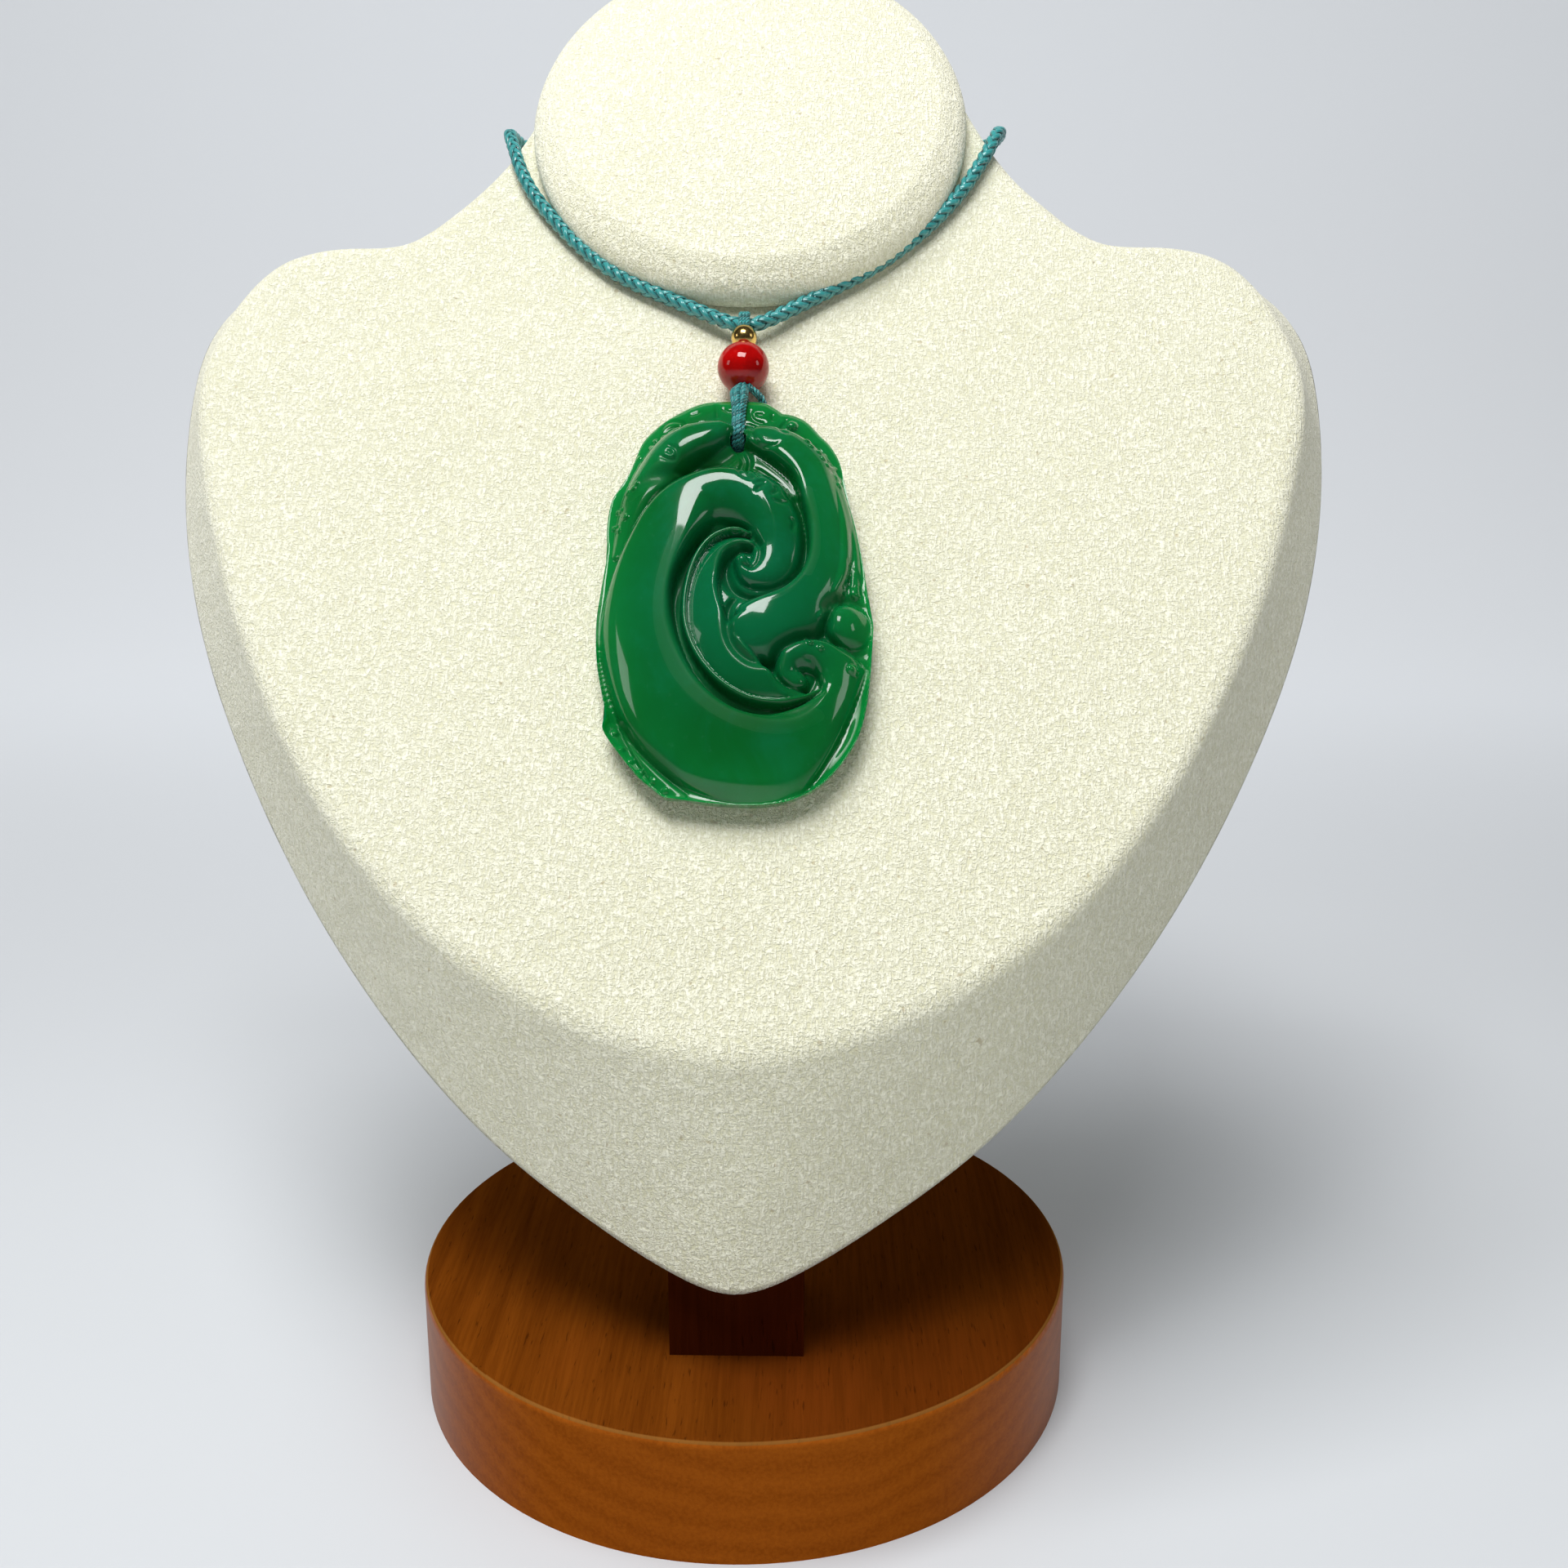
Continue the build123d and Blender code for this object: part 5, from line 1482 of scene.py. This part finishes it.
PAPER_SIDE = 1.6
PAPER_FRONT = -1.5
PAPER_BEND_STARTS = 0.55
PAPER_BEND_RADIUS = 0.35
PAPER_BEND_STEPS = 24
PAPER_TOP = 1.8
ROOM_STRENGTH = 0.06
CAMERA_PLACE = (0.01004, -0.22546, 0.14888)
CAMERA_TILT = 90 - 13.86
CAMERA_TURN = 1.0


class StageSettings(bpy.types.PropertyGroup):
    key_power: bpy.props.FloatProperty(
        name="Key light", description="Strength of the large light above the front",
        default=2.15, min=0.0, max=100.0, subtype="POWER")
    side_power: bpy.props.FloatProperty(
        name="Side lights", description="Strength of each side light",
        default=0.13, min=0.0, max=100.0, subtype="POWER")
    window_power: bpy.props.FloatProperty(
        name="Window light", description="Strength of the broad light on the floor and backdrop",
        default=9.6, min=0.0, max=200.0, subtype="POWER")
    fill_power: bpy.props.FloatProperty(
        name="Fill light", description="Strength of the warm light bounced back from the front",
        default=0.85, min=0.0, max=100.0, subtype="POWER")
    sky: bpy.props.FloatVectorProperty(
        name="Room", description="Colour of the light from the room", subtype="COLOR",
        default=(0.86, 0.88, 0.88), min=0.0, max=1.0)
    lens: bpy.props.FloatProperty(
        name="Lens", description="Focal length of the camera",
        default=36.06, min=10.0, max=200.0, unit="CAMERA")


def aimed(name, data, place, target):
    """Add an object that looks from its place to a target, both in metres."""
    holder = bpy.data.objects.new(name, data)
    holder.location = place
    holder.rotation_euler = (Vector(target) - Vector(place)).to_track_quat("-Z", "Y").to_euler()
    bpy.context.scene.collection.objects.link(holder)
    return holder


def softbox(name, place, target, size, power, mirrored=True, tint=(1.0, 1.0, 1.0)):
    """A rectangular area light aimed at a target, seen or not in polished surfaces."""
    light = bpy.data.lights.new(name, "AREA")
    light.shape = "RECTANGLE"
    light.size, light.size_y = size
    light.energy = power
    light.color = tint
    holder = aimed(name, light, place, target)
    holder.visible_glossy = mirrored


def paper_finish():
    """Pale paper that glows a little more towards the back."""
    finish = Finish("pale_paper", Roughness=0.7, Specular_IOR_Level=0.2, Emission_Strength=0.335)
    where = finish.place()
    cloud = finish.grain(where, 0.004, 3.0)
    depth = finish.ranged(finish.coordinate(where, 1), 100.0, 640.0)
    return finish.feed(
        Base_Color=finish.between(cloud, (0.550, 0.570, 0.590), (0.570, 0.590, 0.615)),
        Emission_Color=finish.between(depth, (0.09, 0.09, 0.095), (0.90, 0.93, 0.97)))


def lay_paper():
    """Floor that bends up into a backdrop."""
    bend = np.linspace(0, math.pi / 2, PAPER_BEND_STEPS)
    curve = np.column_stack((PAPER_BEND_STARTS + PAPER_BEND_RADIUS * np.sin(bend),
                             PAPER_BEND_RADIUS - PAPER_BEND_RADIUS * np.cos(bend)))
    end = PAPER_BEND_STARTS + PAPER_BEND_RADIUS
    profile = np.vstack(([(PAPER_FRONT, 0.0)], curve, [(end, PAPER_TOP)]))
    left, right = (np.column_stack((np.full(len(profile), side), profile))
                   for side in (-PAPER_SIDE, PAPER_SIDE))
    points = np.stack((left, right), axis=1).reshape(-1, 3)
    sweep = bpy.data.meshes.new("paper_sweep")
    sweep.from_pydata(points.tolist(), [], sheet_faces(len(profile), 2, closed=False))
    sweep.shade_smooth()
    sweep.materials.append(paper_finish())
    floor = bpy.data.objects.new("paper_sweep", sweep)
    bpy.context.scene.collection.objects.link(floor)


def hang_lights(settings):
    """The key light, a light on each side, a broad one from above and a warm one from the front."""
    softbox("key_light", (-0.045, -0.262, 0.62), (0.0, -0.06, 0.13), (0.29, 0.20),
            settings.key_power)
    for name, side in (("left", -1), ("right", 1)):
        softbox(f"side_light_{name}", (0.52 * side, -0.16, 0.33), (0.0, -0.02, 0.12),
                (0.12, 0.15), settings.side_power)
    softbox("window_light", (-0.26, -0.12, 1.15), (0.0, 0.02, 0.08), (0.6, 0.6),
            settings.window_power, mirrored=False)
    softbox("fill_light", (0.10, -0.75, 0.12), (0.0, -0.05, 0.10), (0.4, 0.4),
            settings.fill_power, mirrored=False, tint=(1.0, 0.97, 0.82))


def room_light(colour, strength):
    """Even light from the room."""
    world = bpy.data.worlds.new("room")
    world.use_nodes = True
    background = world.node_tree.nodes["Background"].inputs
    background["Color"].default_value = (*colour, 1.0)
    background["Strength"].default_value = strength
    return world


def place_camera(lens):
    """The camera in front of the chest, a little above the pendant."""
    camera = bpy.data.cameras.new("camera")
    camera.sensor_width = 36.0
    camera.lens = lens
    camera.clip_start = 0.01
    holder = bpy.data.objects.new("camera", camera)
    holder.location = CAMERA_PLACE
    holder.rotation_euler = (math.radians(CAMERA_TILT), 0.0, math.radians(CAMERA_TURN))
    bpy.context.scene.collection.objects.link(holder)
    return holder


class PENDANT_OT_stage(bpy.types.Operator):
    """Lay the floor, hang the lights and place the camera"""
    bl_idname = "pendant.stage"
    bl_label = "Stage"

    def execute(self, context):
        scene = context.scene
        settings = scene.pendant_stage
        lay_paper()
        hang_lights(settings)
        scene.world = room_light(settings.sky, ROOM_STRENGTH)
        scene.camera = place_camera(settings.lens)
        scene.view_settings.view_transform = "Standard"
        return {"FINISHED"}


class PENDANT_PT_panel(bpy.types.Panel):
    """Steps that dress the pendant and its bust"""
    bl_idname = "PENDANT_PT_panel"
    bl_label = "Carved Scroll Pendant"
    bl_space_type = "VIEW_3D"
    bl_region_type = "UI"
    bl_category = "Pendant"

    def draw(self, context):
        for group, operator in STEPS:
            box = self.layout.box()
            settings = getattr(context.scene, group)
            for name in settings.__annotations__:
                box.prop(settings, name)
            box.operator(operator)


SETTINGS = {
    "pendant_cord": CordSettings,
    "pendant_beads": BeadSettings,
    "pendant_stone": StoneSettings,
    "pendant_cloth": ClothSettings,
    "pendant_wood": WoodSettings,
    "pendant_stage": StageSettings,
}
STEPS = (
    ("pendant_cord", "pendant.cord"), ("pendant_beads", "pendant.beads"),
    ("pendant_stone", "pendant.stone"), ("pendant_cloth", "pendant.cover"),
    ("pendant_wood", "pendant.wood"), ("pendant_stage", "pendant.stage"),
)
CLASSES = (
    *SETTINGS.values(), PENDANT_OT_cord, PENDANT_OT_beads, PENDANT_OT_stone,
    PENDANT_OT_cover, PENDANT_OT_wood, PENDANT_OT_stage, PENDANT_PT_panel,
)


def register():
    for part in CLASSES:
        bpy.utils.register_class(part)
    for name, group in SETTINGS.items():
        setattr(bpy.types.Scene, name, bpy.props.PointerProperty(type=group))


def unregister():
    for name in SETTINGS:
        delattr(bpy.types.Scene, name)
    for part in reversed(CLASSES):
        bpy.utils.unregister_class(part)


def main():
    register()
    bpy.ops.pendant.cord()
    bpy.ops.pendant.beads()
    bpy.ops.pendant.stone()
    bpy.ops.pendant.cover()
    bpy.ops.pendant.wood()
    bpy.ops.pendant.stage()


if __name__ == "__main__":
    main()
